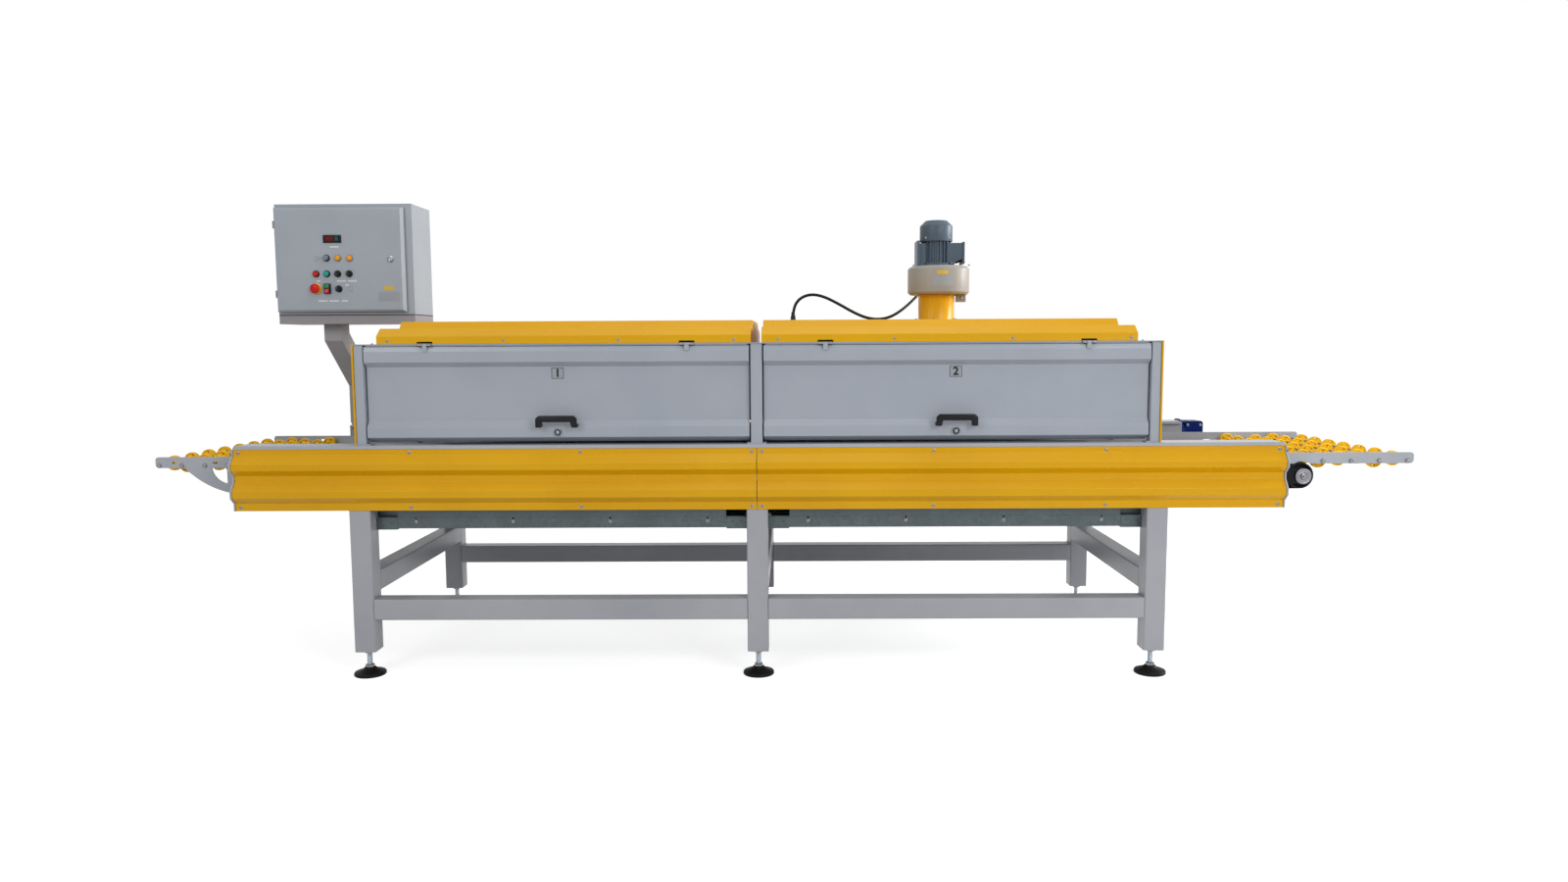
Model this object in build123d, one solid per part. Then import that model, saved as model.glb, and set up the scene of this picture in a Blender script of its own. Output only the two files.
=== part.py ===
"""Infrared tunnel oven: a mesh belt runs through a low heated hood on a six-legged bed.

Skate-wheel tables stand out at both ends, a blower stands on the right-hand roof cover,
and a switch box hangs over the infeed on a bent arm. X runs along the belt, Y from front
to back and Z up. Everything is drawn about the middle of the bed at floor level.
"""

import math
import os

from build123d import *

# Legs and square tubes
leg_pitch = 1500.0
frame_depth = 1134.0
tube = 80.0
tube_wall = 3.0
tube_edge = 4.0
foot_height = 97.0
leg_plate = 6.0
stretcher_low = 222.0
cross_tube_low = 322.0

# Feet
pad_diameter = 118.0
pad_rim = 14.0
pad_height = 30.0
pad_neck = 40.0
stud_diameter = 20.0
nut_across = 30.0
nut_height = 12.0

# Bed
bed_half = 1965.0
bed_top = 877.0
bed_height = 233.0
rail_tube = 50.0
rail_wall = 2.5
rail_edge = 2.5
trim_thick = 13.0
trim_width = 96.0
trim_overhang = 4.0
trim_round = 10.0
running_gap = 0.3

# Corrugated skirt panels, profile heights from the top edge down
skirt_sheet = 2.0
skirt_crest = 24.0
skirt_heights = (22.0, 32.0, 24.0, 22.0, 24.0, 32.0, 26.0, 22.0)
panel_joint = 1.0
end_plate_thick = 6.0
end_plate_lip = 5.0

# Hood
hood_half = 1500.0
hood_top = 1264.0
deck_thick = 4.0
end_wall_thick = 6.0
mouth_side = 50.0
mouth_height = 130.0
outer_post = 35.0
middle_post = 44.0
post_depth = 40.0
post_setback = 5.0
post_wall = 2.5
post_foot = 15.0
post_foot_thick = 5.0

# Flap doors: heights down from the top edge and up from the lower edge, depths from the front
door_gap = 5.0
door_top_gap = 6.0
door_sill = 10.0
door_depth = 52.0
door_recess = 25.0
door_step = 8.0
door_top_set = 6.0
door_back_set = 4.0
door_top_heights = (18.0, 58.0, 76.0)
door_low_heights = (81.0, 57.0, 19.0)
hinge_inset = 230.0
hinge_forward = 4.0
hinge_pin = 4.0
hinge_leaf = 2.0
hinge_leaf_reach = 32.0
hinge_arm = (14.0, 24.0)
knuckle_diameter = 8.0
knuckle_length = 17.0
knuckle_gap = 1.0
pin_clearance = 0.05
handle_length = 154.0
handle_height = 44.0
handle_above_sill = 57.0
handle_leg = 18.0
handle_bar = 18.0
handle_thick = 12.6
handle_reach = 28.0
handle_corner = 12.0
handle_slope = 6.0
handle_foot = 12.0
lock_diameter = 28.0
lock_above_sill = 37.0

# Roof covers
roof_inset = 90.0
roof_gap = 40.0
roof_sheet = 2.0
roof_upright = 29.0
roof_eave = 58.0
roof_eave_setback = 40.0
roof_tier_setback = 235.0
roof_tier = 88.0
roof_tier_slope = 25.0
roof_fall = 3.0
notch_gap = 2.0
notch_height = 8.0

# Bottom trays
tray_end_gap = 10.0
tray_drop = 35.0
tray_depth = 44.0
tray_half_depth = 507.0
tray_sheet = 2.0
tray_lip = 80.0
tray_slots = 4
tray_slot_pitch = 372.0
tray_slot = 5.0
tray_slot_length = 45.0
tray_slot_drop = 10.0
sleeve_length = 80.0
sleeve_drop = 4.0

# Belt and drums
belt_drop = 74.0
belt_thick = 2.0
belt_edge_gap = 21.0
drum_radius = 51.0
drum_side_gap = 5.0
drum_wall = 6.0
drum_recess = 30.0
drive_drum_reach = 114.0
tail_drum_inset = 65.0
shaft_diameter = 25.0
shaft_clearance = 0.05
shaft_stub = 3.0
bearing_plate = 8.0
bearing_arm = 199.0
bearing_arm_half = 30.0
bearing_foot = 70.0
bearing_foot_drop = 4.0
hub_diameter = 59.0
hub_length = 8.0
belt_lead = 5.0
cross_beam = 50.0
cross_beam_insets = (365.0, 65.0)

# Wheel tables, reaches measured outwards from the bed's ends
rail_side_gap = 26.0
rail_plate = 6.0
rail_drop = 6.0
rail_height = 42.0
rail_overlap = 325.0
rail_tip = 12.0
rail_margins = (15.0, 25.0)
spacer_insets = (285.0, 165.0)
spacer_rise = 23.0
spacer_diameter = 24.0
slot_reaches = (284.0, 126.0)
slot_length = 18.0
slot_height = 10.0
slot_rise = 16.0
drum_notch_gap = 3.0
brace_reach = 245.0
brace_middle = (140.0, 75.0)
brace_root = (62.0, 100.0)
brace_tuck = 47.0
window_reaches = (141.0, 82.0)
window_depth = 61.0
window_bow = 10.0
axle_rise = 3.0
axle_diameter = 10.0
wheel_diameter = 60.0
wheel_width = 22.0
wheel_sides = 16
wheel_bore_sides = 8
wheel_bore_gap = 0.05
wheel_edge_gap = 34.0
wheels_full = 8
wheels_between = 7
axle_starts = (78.0, 192.0)
axle_pitches = (88.0, 107.0)
axles_per_table = 4

# Drive
gearbox_out = 96.0
gearbox_width = 90.0
gearbox_length = 86.0
gearbox_drop = 60.0
gearbox_rise = 65.0
gearbox_corner = 14.0
gear_case_diameter = 112.0
gear_case_inset = 6.0
neck_diameter = 104.0
neck_gap = 2.0
boss_diameter = 68.0
boss_length = 10.0
motor_rise = 65.0
motor_flange_diameter = 148.0
motor_flange = 12.0
motor_diameter = 112.0
motor_length = 212.0
motor_cowl = 58.0
fin_height = 9.0
fin_thick = 3.0
fin_count = 20
bracket_thick = 8.0

# Blower
blower_x = 742.0
duct_diameter = 150.0
duct_height = 108.0
duct_flange = 210.0
duct_collar = 162.0
duct_collar_height = 6.0
duct_flange_thick = 4.0
duct_wall = 2.0
casing_shift = 8.0
casing_diameter = 256.0
casing_height = 118.0
casing_rim = 9.0
casing_step = 3.0
outlet_start = 84.0
outlet_length = 36.0
outlet_width = 48.0
outlet_drop = 30.0
blower_motor_shift = 3.0
blower_motor_diameter = 104.0
cowl_diameter = 136.0
motor_body_height = 102.0
cowl_height = 86.0
cowl_shoulder = 22.0
terminal_start = 40.0
terminal_reach = 113.0
terminal_lid = 8.0
terminal_width = 96.0
terminal_rise = 8.0
terminal_height = 90.0
terminal_slope = 16.0
feet_start = 74.0
feet_thick = 10.0
feet_width = 100.0
feet_rise = 2.0
feet_height = 102.0
feet_web = 24.0

# Cable from the roof to the blower motor
cable_diameter = 12.0
cable_sides = 8
cable_rounding = 0.45
gland_across = 22.0
cable_route = (
    (138.0, -137.0, 1364.0),
    (138.0, -137.0, 1402.0),
    (160.0, -136.0, 1444.0),
    (205.0, -134.0, 1464.0),
    (258.0, -130.0, 1457.0),
    (320.0, -124.0, 1427.0),
    (385.0, -113.0, 1390.0),
    (440.0, -95.0, 1367.0),
    (490.0, -65.0, 1361.0),
    (540.0, -20.0, 1369.0),
    (590.0, 45.0, 1394.0),
    (640.0, 110.0, 1431.0),
    (690.0, 160.0, 1478.0),
    (745.0, 188.0, 1530.0),
    (800.0, 178.0, 1578.0),
    (830.0, 141.0, 1601.0),
    (834.0, 93.0, 1609.0),
    (834.0, 48.0, 1610.0),
)

# Arm and control box
arm_inset = 39.0
arm_tube = 80.0
arm_wall = 3.0
arm_lean = 239.0
arm_bends = (203.0, 413.0)
arm_height = 469.0
arm_foot_ends = (36.0, 56.0)
arm_foot_thick = 8.0
box_overhang = 197.0
box_width = 600.0
box_forward = 125.0
box_depth = 230.0
box_height = 478.0
box_sheet = 2.0
box_return = 16.0
plinth_height = 41.0
plinth_sheet = 2.0
box_door_gap = 5.0
box_door_depth = 25.0
box_door_sheet = 3.0
box_door_bevel = 9.0
box_door_left = 6.0
box_door_right = 32.0
box_door_low = 11.0
box_door_top = 17.0
box_hinge_pin = 5.0
box_knuckle = 9.0
box_knuckle_height = 14.0
box_knuckle_gap = 1.0
box_hinge_end = 8.0
box_hinge_leaf = 3.0
box_hinge_side = 6.0
box_hinge_back = 14.0
box_hinge_spread = 300.0

# Controls on the box door, (x, z) on its face from the box's lower left corner
control_size = 30.0
knob_size = 24.0
control_stem = 12.0
stem_tail = 6.0
press_travel = 1.0
bezel = 6.0
lamp_reach = 12.0
plug_thick = 2.0
selector_turn = -45.0
selector_head = 4.0
selector_grip = (8.0, 10.0, 23.0)
button_head = 5.0
knob_reach = 14.0
emergency_collar = 46.0
emergency_head = 42.0
emergency_reach = 16.0
display_size = (78.0, 34.0, 5.0)
switch_size = (28.0, 44.0, 16.0)
box_lock_diameter = 28.0
box_lock_reach = 9.0
turning_controls = ((233.0, 243.0), (280.0, 175.0), (330.0, 175.0), (282.0, 110.0))
pushing_controls = ((185.0, 175.0), (232.0, 175.0))
emergency_place = (183.0, 111.0)
lamp_places = ((283.0, 243.0), (334.0, 242.0))
plug_places = ((189.0, 243.0), (333.0, 110.0))
display_place = (262.0, 325.0)
switch_place = (233.0, 111.0)
box_lock_place = (513.0, 237.0)

# Places that follow from the sizes above
half_depth = frame_depth / 2
inner_half = half_depth - tube
leg_rows = (-leg_pitch, 0.0, leg_pitch)
sides = (-1, 1)
beam_low = bed_top - tube
bed_bottom = bed_top - bed_height
trim_top = bed_top + trim_thick
roof_base = hood_top + deck_thick
roof_high = roof_base + roof_tier
roof_half = hood_half - roof_inset
door_top = hood_top - door_top_gap
door_bottom = trim_top + door_sill
tray_high = bed_bottom - tray_drop
tray_low = tray_high - tray_depth
rail_inner = inner_half - rail_side_gap
rail_outer = rail_inner + rail_plate
drum_half = rail_inner - drum_side_gap
belt_half = rail_inner - belt_edge_gap
belt_top = bed_top - belt_drop
drum_axis = belt_top - belt_thick - drum_radius
belt_low = drum_axis - drum_radius - belt_thick
drive_drum_x = bed_half + drive_drum_reach
tail_drum_x = tail_drum_inset - bed_half
rail_low = belt_top - rail_drop
rail_high = rail_low + rail_height
axle_height = belt_top + axle_rise
shaft_reach = rail_outer + bearing_plate + hub_length + shaft_stub
gearbox_y = half_depth + gearbox_out
gearbox_near = gearbox_y - gearbox_width / 2
gearbox_far = gearbox_y + gearbox_width / 2
gearbox_low = drum_axis - gearbox_drop
worm_axis = drum_axis + motor_rise
motor_start = drive_drum_x - gear_case_diameter / 2 - neck_gap
casing_low = roof_high + duct_height
casing_high = casing_low + casing_height
arm_x = arm_inset - bed_half
arm_back = half_depth - tube / 2
arm_front = arm_back - arm_lean
plinth_low = trim_top + arm_height
box_left = arm_x - box_overhang
box_right = box_left + box_width
box_low = plinth_low + plinth_height
box_top = box_low + box_height
box_front = arm_front - box_forward
box_back = box_front + box_depth
door_back = box_front - box_door_gap
door_face = door_back - box_door_depth
pan_left = box_left + box_door_left
pan_right = box_right - box_door_right
pan_low = box_low + box_door_low
pan_high = box_top - box_door_top


def block(x0, x1, y0, y1, z0, z1):
    """A rectangular piece between two corners."""
    return Pos((x0 + x1) / 2, (y0 + y1) / 2, (z0 + z1) / 2) * Box(
        abs(x1 - x0), abs(y1 - y0), abs(z1 - z0)
    )


def square_tube(x0, x1, y0, y1, z0, z1, wall, edge, along):
    """A square tube open at both ends along X, Y or Z, its four long edges eased."""
    bar = block(x0, x1, y0, y1, z0, z1)
    bar = chamfer(bar.edges().filter_by({"X": Axis.X, "Y": Axis.Y, "Z": Axis.Z}[along]), edge)
    bore = [[x0, x1], [y0, y1], [z0, z1]]
    for axis, span in zip("XYZ", bore):
        grow = wall if axis == along else -wall
        span[0] -= grow
        span[1] += grow
    return bar - block(*bore[0], *bore[1], *bore[2])


def prism_x(points, x0, x1):
    """A piece with the outline points (y, z), drawn out along X."""
    outline = make_face(Plane.YZ * Polyline(*points, close=True))
    return Pos(x0, 0, 0) * extrude(outline, amount=x1 - x0, dir=(1, 0, 0))


def prism_y(line, y0, y1):
    """A piece inside a closed line drawn in (x, z), drawn out along Y."""
    outline = make_face(Plane.XZ * line)
    return Pos(0, y0, 0) * extrude(outline, amount=y1 - y0, dir=(0, 1, 0))


def rod(radius, start, end):
    """A round rod from one point to another."""
    path = Vector(*end) - Vector(*start)
    plane = Plane(origin=start, z_dir=path)
    return extrude(plane * Circle(radius), amount=path.length)


def turned(points, place):
    """A round piece about an upright axis, with the half outline points (radius, z)."""
    return Pos(*place) * revolve(make_face(Plane.XZ * Polyline(*points, close=True)), Axis.Z)


def mirrored(points):
    """The points of a front half outline, followed by their mirror image about Y = 0."""
    return list(points) + [(-y, z) for y, z in reversed(points)]


def both_sides(piece):
    """A piece and its mirror image at the back of the machine."""
    return [piece, mirror(piece, about=Plane.XZ)]


# The frame: six square legs, stretchers low down between them, and levelling feet


def make_legs():
    """Six square-tube legs up to the bed beams, each closed below by a plate for its foot."""
    legs = []
    inside = tube / 2 - tube_wall
    for x in leg_rows:
        leg = square_tube(
            x - tube / 2,
            x + tube / 2,
            -half_depth,
            -inner_half,
            foot_height,
            beam_low,
            tube_wall,
            tube_edge,
            "Z",
        )
        leg += block(
            x - inside,
            x + inside,
            -half_depth + tube_wall,
            -inner_half - tube_wall,
            foot_height,
            foot_height + leg_plate,
        )
        legs += both_sides(leg)
    return legs


def make_stretchers():
    """Long stretchers at the front and back, and a higher tube across each pair of legs."""
    pieces = []
    low, high = stretcher_low, cross_tube_low
    for left, right in zip(leg_rows, leg_rows[1:]):
        span = (left + tube / 2, right - tube / 2)
        stretcher = square_tube(
            *span, -half_depth, -inner_half, low, low + tube, tube_wall, tube_edge, "X"
        )
        pieces += both_sides(stretcher)
    for x in leg_rows:
        span = (x - tube / 2, x + tube / 2)
        pieces.append(
            square_tube(*span, -inner_half, inner_half, high, high + tube, tube_wall, tube_edge, "Y")
        )
    return pieces


def foot_places():
    """The middles of the six feet on the floor."""
    return [(x, side * (half_depth - tube / 2)) for x in leg_rows for side in sides]


def make_pads():
    """Rubber foot pads, a flat rim under a low cone with a neck for the stud."""
    section = (
        (0, 0),
        (pad_diameter / 2, 0),
        (pad_diameter / 2, pad_rim),
        (pad_neck / 2, pad_height),
        (0, pad_height),
    )
    return [turned(section, (x, y, 0)) for x, y in foot_places()]


def make_studs():
    """Zinc studs with a nut on the pad and a lock nut under each leg's end plate."""
    stud = Pos(0, 0, pad_height) * extrude(Circle(stud_diameter / 2), amount=foot_height - pad_height)
    nut = extrude(RegularPolygon(nut_across / 2, 6, major_radius=False), amount=nut_height)
    for low in (pad_height, foot_height - nut_height):
        stud += Pos(0, 0, low) * nut
    return [Pos(x, y, 0) * stud for x, y in foot_places()]


# The bed: two heavy beams, light rails and cross beams under them, and yellow skirts


def make_bed_beams():
    """One beam along each side of the bed, on the leg tops."""
    span = (-bed_half, bed_half)
    return both_sides(
        square_tube(*span, -half_depth, -inner_half, beam_low, bed_top, tube_wall, tube_edge, "X")
    )


def make_lower_rails():
    """Light rails between and beyond the legs, which the skirts' lower edges are screwed to."""
    stops = [-bed_half]
    for x in leg_rows:
        stops += [x - tube / 2, x + tube / 2]
    stops.append(bed_half)
    back, high = -half_depth + rail_tube, bed_bottom + rail_tube
    rails = []
    for left, right in zip(stops[0::2], stops[1::2]):
        rail = square_tube(
            left, right, -half_depth, back, bed_bottom, high, rail_wall, rail_edge, "X"
        )
        rails += both_sides(rail)
    return rails


def make_cross_beams():
    """Cross beams between the lower rails, just under the returning belt."""
    reach = half_depth - rail_tube
    low, half = belt_low - cross_beam, cross_beam / 2
    beams = []
    for side in sides:
        for inset in cross_beam_insets:
            x = side * (bed_half - inset)
            beams.append(
                square_tube(x - half, x + half, -reach, reach, low, belt_low, rail_wall, rail_edge, "Y")
            )
    return beams


def make_trims():
    """Flat grey bars along the top of the bed, their end corners rounded."""
    front, back = -half_depth - trim_overhang, -half_depth + trim_width
    bar = block(-bed_half, bed_half, front, back, bed_top, trim_top)
    corners = bar.edges().filter_by(Axis.Y).group_by(Axis.Z)[-1]
    return both_sides(fillet(corners, min(trim_round, trim_thick - running_gap)))


def skirt_outline(offset):
    """The corrugated line from the top edge down, (y, z), pushed outwards by offset."""
    z = bed_top
    out = 0.0
    line = [(-half_depth - offset, z)]
    for index, height in enumerate(skirt_heights):
        z -= height
        if index % 2 == 1:
            out = skirt_crest - out
        line.append((-half_depth - offset - out, z))
    line.append((-half_depth - offset, bed_bottom))
    return line


def make_skirt(side):
    """Two corrugated sheet panels end to end on one side of the bed."""
    section = skirt_outline(skirt_sheet) + list(reversed(skirt_outline(0.0)))
    panels = []
    for left, right in ((-bed_half, -panel_joint), (panel_joint, bed_half)):
        panel = prism_x(section, left, right)
        panels.append(panel if side < 0 else mirror(panel, about=Plane.XZ))
    return panels


def make_end_plates():
    """Grey plates on the bed's four corners, cut to the skirt's wavy outline with a lip."""
    outline = skirt_outline(skirt_sheet + end_plate_lip)
    outline += [(-inner_half, bed_bottom), (-inner_half, bed_top)]
    plates = []
    for left in (-bed_half - end_plate_thick, bed_half):
        plates += both_sides(prism_x(outline, left, left + end_plate_thick))
    return plates


# The hood: posts, deck, end walls with the tunnel mouths, rear panels and roof covers


def post_spans():
    """The left and right faces of the three posts of one side."""
    half_middle = middle_post / 2
    return (
        (-hood_half, -hood_half + outer_post),
        (-half_middle, half_middle),
        (hood_half - outer_post, hood_half),
    )


def make_posts():
    """Three grey box posts at the front and three at the back, each on a wider foot plate."""
    front = -half_depth + post_setback
    back = front + post_depth
    posts = []
    for left, right in post_spans():
        post = square_tube(left, right, front, back, trim_top, hood_top, post_wall, post_wall, "Z")
        foot = (max(left - post_foot, -hood_half), min(right + post_foot, hood_half))
        post += block(*foot, front, back, trim_top, trim_top + post_foot_thick)
        posts += both_sides(post)
    return posts


def make_deck():
    """The flat steel deck that closes the hood under the roof covers, with the duct's hole."""
    reach = half_depth - running_gap
    deck = block(-hood_half, hood_half, -reach, reach, hood_top, roof_base)
    return deck - Pos(blower_x, 0, hood_top) * Cylinder(duct_diameter / 2, 4 * deck_thick)


def make_end_wall(side):
    """A hood end wall, cut away over the belt as the tunnel's mouth."""
    inner = side * hood_half
    outer = side * (hood_half + end_wall_thick)
    wall = block(inner, outer, -half_depth, half_depth, trim_top, roof_base)
    reach = inner_half - mouth_side
    mouth = block(inner - side, outer + side, -reach, reach, trim_top - 1, trim_top + mouth_height)
    return wall - mouth


def door_section():
    """The panel's outline (y, z): a broad top band, a recessed field and a lower band."""
    front = -half_depth
    below = [door_top - height for height in door_top_heights]
    above = [door_bottom + height for height in door_low_heights]
    return [
        (front + door_top_set, door_top),
        (front, below[0]),
        (front, below[1]),
        (front + door_recess, below[2]),
        (front + door_recess, above[0]),
        (front + door_step, above[1]),
        (front + door_step, above[2]),
        (front + door_depth - door_back_set, door_bottom),
        (front + door_depth, door_bottom),
        (front + door_depth, door_top),
    ]


def door_span(side):
    """The left and right edges of the panel in the left (-1) or right (1) bay."""
    spans = post_spans()
    bay = 0 if side < 0 else 1
    return spans[bay][1] + door_gap, spans[bay + 1][0] - door_gap


def make_rear_panels():
    """Two fixed panels close the back of the hood, pressed like the front doors."""
    panels = []
    for side in sides:
        left, right = door_span(side)
        panel = prism_x(door_section(), left - door_gap, right + door_gap)
        panels.append(mirror(panel, about=Plane.XZ))
    return panels


def hinge_axis():
    """The flap doors' hinge line, (y, z), just in front of their top edge."""
    return -half_depth - hinge_forward, hood_top


def hinge_places(side):
    """The middles of one door's two hinges along X."""
    left, right = door_span(side)
    return left + hinge_inset, right - hinge_inset


def make_flap_door(side):
    """A pressed steel flap door with its two moving hinge knuckles."""
    left, right = door_span(side)
    door = prism_x(door_section(), left, right)
    y, z = hinge_axis()
    radius = knuckle_diameter / 2
    front = y - radius / 2
    for x in hinge_places(side):
        ends = (x - knuckle_length / 2, x + knuckle_length / 2)
        knuckle = rod(radius, (ends[0], y, z), (ends[1], y, z))
        knuckle += block(*ends, front, y + radius / 2, z - hinge_arm[1], z - radius / 2)
        knuckle += block(*ends, front, -half_depth + door_step, z - hinge_arm[1], z - hinge_arm[0])
        bore = rod(hinge_pin / 2 + pin_clearance, (ends[0] - 1, y, z), (ends[1] + 1, y, z))
        door = door + knuckle - bore
    return door


def make_flap_hinges():
    """The fixed hinge halves: two knuckles on a leaf over the deck's edge, and the pin."""
    y, z = hinge_axis()
    radius = knuckle_diameter / 2
    edge = -half_depth + running_gap
    inner = knuckle_length / 2 + knuckle_gap
    outer = inner + knuckle_length
    top = roof_base + hinge_leaf
    hinges = []
    for side in sides:
        for x in hinge_places(side):
            hinge = rod(hinge_pin / 2, (x - outer, y, z), (x + outer, y, z))
            for end in sides:
                start, stop = sorted((x + end * inner, x + end * outer))
                hinge += rod(radius, (start, y, z), (stop, y, z))
                hinge += block(start, stop, y, edge, z + radius / 2, top)
            hinge += block(x - outer, x + outer, edge, y + hinge_leaf_reach, roof_base, top)
            hinges.append(hinge)
    return hinges


def make_flap_fittings(side, door):
    """A black bridge handle and the quarter-turn lock under it, both on one door."""
    left, right = door_span(side)
    middle = (left + right) / 2
    half = handle_length / 2
    low = door_bottom + handle_above_sill
    high = low + handle_height
    front = -half_depth - handle_reach
    shoulder = half - handle_leg
    half_outline = [
        (shoulder - handle_slope, high - handle_bar),
        (shoulder, low),
        (half, low),
        (half, high - handle_corner),
        (half - handle_corner, high),
    ]
    outline = half_outline + [(-x, z) for x, z in reversed(half_outline)]
    line = Polyline(*[(middle + x, z) for x, z in outline], close=True)
    handle = prism_y(line, front, front + handle_thick)
    for end in sides:
        foot = sorted((middle + end * shoulder, middle + end * half))
        handle += block(*foot, front, -half_depth + door_recess, low, low + handle_foot)
    z = door_bottom + lock_above_sill
    lock = rod(lock_diameter / 2, (middle, -half_depth, z), (middle, -half_depth + door_recess, z))
    return [handle - door, lock - door]


def roof_outline(inset):
    """The roof cover's end outline, shrunk by inset on the outside faces."""
    front = -half_depth + inset
    slope = inset * 0.6
    eave = roof_base + roof_eave - inset
    tier = -half_depth + roof_tier_setback + slope
    return mirrored([
        (front, roof_base),
        (front, roof_base + roof_upright - slope / 2),
        (front + roof_eave_setback - slope / 2, eave),
        (tier, eave + roof_fall),
        (tier + roof_tier_slope, roof_high - inset),
    ])


def roof_span(side):
    """The left and right ends of one roof cover."""
    ends = (side * roof_gap / 2, side * roof_half)
    return min(ends), max(ends)


def make_roof_cover(side):
    """A folded sheet cover on the deck, with closed ends and notches for the hinges."""
    left, right = roof_span(side)
    outside = prism_x(roof_outline(0), left, right)
    inside = prism_x(
        [(y, z - (roof_sheet if z == roof_base else 0)) for y, z in roof_outline(roof_sheet)],
        left + roof_sheet,
        right - roof_sheet,
    )
    cover = outside - inside
    notch = knuckle_length * 1.5 + knuckle_gap + notch_gap
    front, back = -half_depth - 1, -half_depth + hinge_leaf_reach
    for x in hinge_places(side):
        cover -= block(x - notch, x + notch, front, back, roof_base - 1, roof_base + notch_height)
    if side > 0:
        cover -= Pos(blower_x, 0, roof_high) * Cylinder(duct_diameter / 2 - duct_wall, 4 * roof_sheet)
    return cover


# Under the bed: galvanised trays that the returning belt slides over


def make_trays():
    """Two folded trays between the legs, with inward lips that carry the belt's edges."""
    reach = tray_half_depth
    section = mirrored([
        (-reach + tray_lip, tray_high),
        (-reach, tray_high),
        (-reach, tray_low),
    ])
    section += reversed(mirrored([
        (-reach + tray_lip, tray_high - tray_sheet),
        (-reach + tray_sheet, tray_high - tray_sheet),
        (-reach + tray_sheet, tray_low + tray_sheet),
    ]))
    slot_low = tray_high - tray_slot_drop
    trays = []
    for side in sides:
        near = tube / 2 + tray_end_gap
        left, right = sorted((side * near, side * (leg_pitch - near)))
        tray = prism_x(section, left, right)
        for index in range(tray_slots):
            x = (left + right) / 2 + (index - (tray_slots - 1) / 2) * tray_slot_pitch
            span = (x - tray_slot / 2, x + tray_slot / 2)
            for y in (-reach, reach):
                tray -= block(*span, y - tray_slot_length, y + tray_slot_length, slot_low, tray_high + 1)
        for post, end in ((side * tube / 2, side), (side * (leg_pitch - tube / 2), -side)):
            span = sorted((post, post + end * sleeve_length))
            for y in (-reach, reach):
                outward = math.copysign(1, y)
                low, high = tray_low - sleeve_drop, tray_high - sleeve_drop
                wall = sorted((y + outward * tray_sheet, y))
                tray += block(*span, *wall, low, high)
                floor = sorted((y + outward * tray_sheet, y - outward * tray_lip))
                tray += block(*span, *floor, low, tray_low)
        trays.append(tray)
    return trays


# The belt: one closed loop over two drums, its return run in the trays


def belt_line(thickness):
    """The belt's side outline as a closed face, at a distance from its inner face."""
    radius = drum_radius + thickness
    top = drum_axis + radius
    low = drum_axis - radius
    run = tray_high + running_gap + belt_thick - thickness
    entry = leg_pitch - tube / 2 + cross_beam / 2
    leave = bed_half - max(cross_beam_insets) - cross_beam / 2 - belt_lead
    points = [(leave, low), (entry, run), (-entry, run), (-leave, low)]
    line = Line((tail_drum_x, top), (drive_drum_x, top))
    line += ThreePointArc((drive_drum_x, top), (drive_drum_x + radius, drum_axis), (drive_drum_x, low))
    line += Polyline((drive_drum_x, low), *points, (tail_drum_x, low))
    line += ThreePointArc((tail_drum_x, low), (tail_drum_x - radius, drum_axis), (tail_drum_x, top))
    return line


def make_belt():
    """The mesh belt as one thin fixed loop."""
    inside = belt_half + 1
    outer = prism_y(belt_line(belt_thick), -belt_half, belt_half)
    return outer - prism_y(belt_line(0.0), -inside, inside)


def make_drum(x, shaft_end):
    """A tube drum with set-back end discs on a through shaft."""
    drum = rod(drum_radius - running_gap, (x, -drum_half, drum_axis), (x, drum_half, drum_axis))
    for side in sides:
        start, stop = side * (drum_half - drum_recess), side * (drum_half + 1)
        drum -= rod(drum_radius - drum_wall, (x, start, drum_axis), (x, stop, drum_axis))
    return drum + rod(shaft_diameter / 2, (x, -shaft_reach, drum_axis), (x, shaft_end, drum_axis))


def make_drum_bearings():
    """Black arms on the rails' outer faces, each with a round bearing on the drum shaft."""
    near, far = -rail_outer, -rail_outer - bearing_plate
    low = drum_axis - bearing_arm_half
    pieces = []
    for x, inward in ((drive_drum_x, -1), (tail_drum_x, 1)):
        root = x + inward * bearing_arm
        span = sorted((x, root))
        foot = sorted((root, root - inward * bearing_foot))
        arm = block(*span, far, near, low, drum_axis + bearing_arm_half)
        arm += rod(bearing_arm_half, (x, far, drum_axis), (x, near, drum_axis))
        arm += block(*foot, far, near, low, rail_high - bearing_foot_drop)
        hub = rod(hub_diameter / 2, (x, far - hub_length, drum_axis), (x, far, drum_axis))
        bore = rod(shaft_diameter / 2 + shaft_clearance, (x, -half_depth, drum_axis), (x, 0, drum_axis))
        pieces += both_sides(arm + hub - bore)
    return pieces


# The drive behind the bed: a gearbox on the drum's shaft and a motor lying along X


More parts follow.
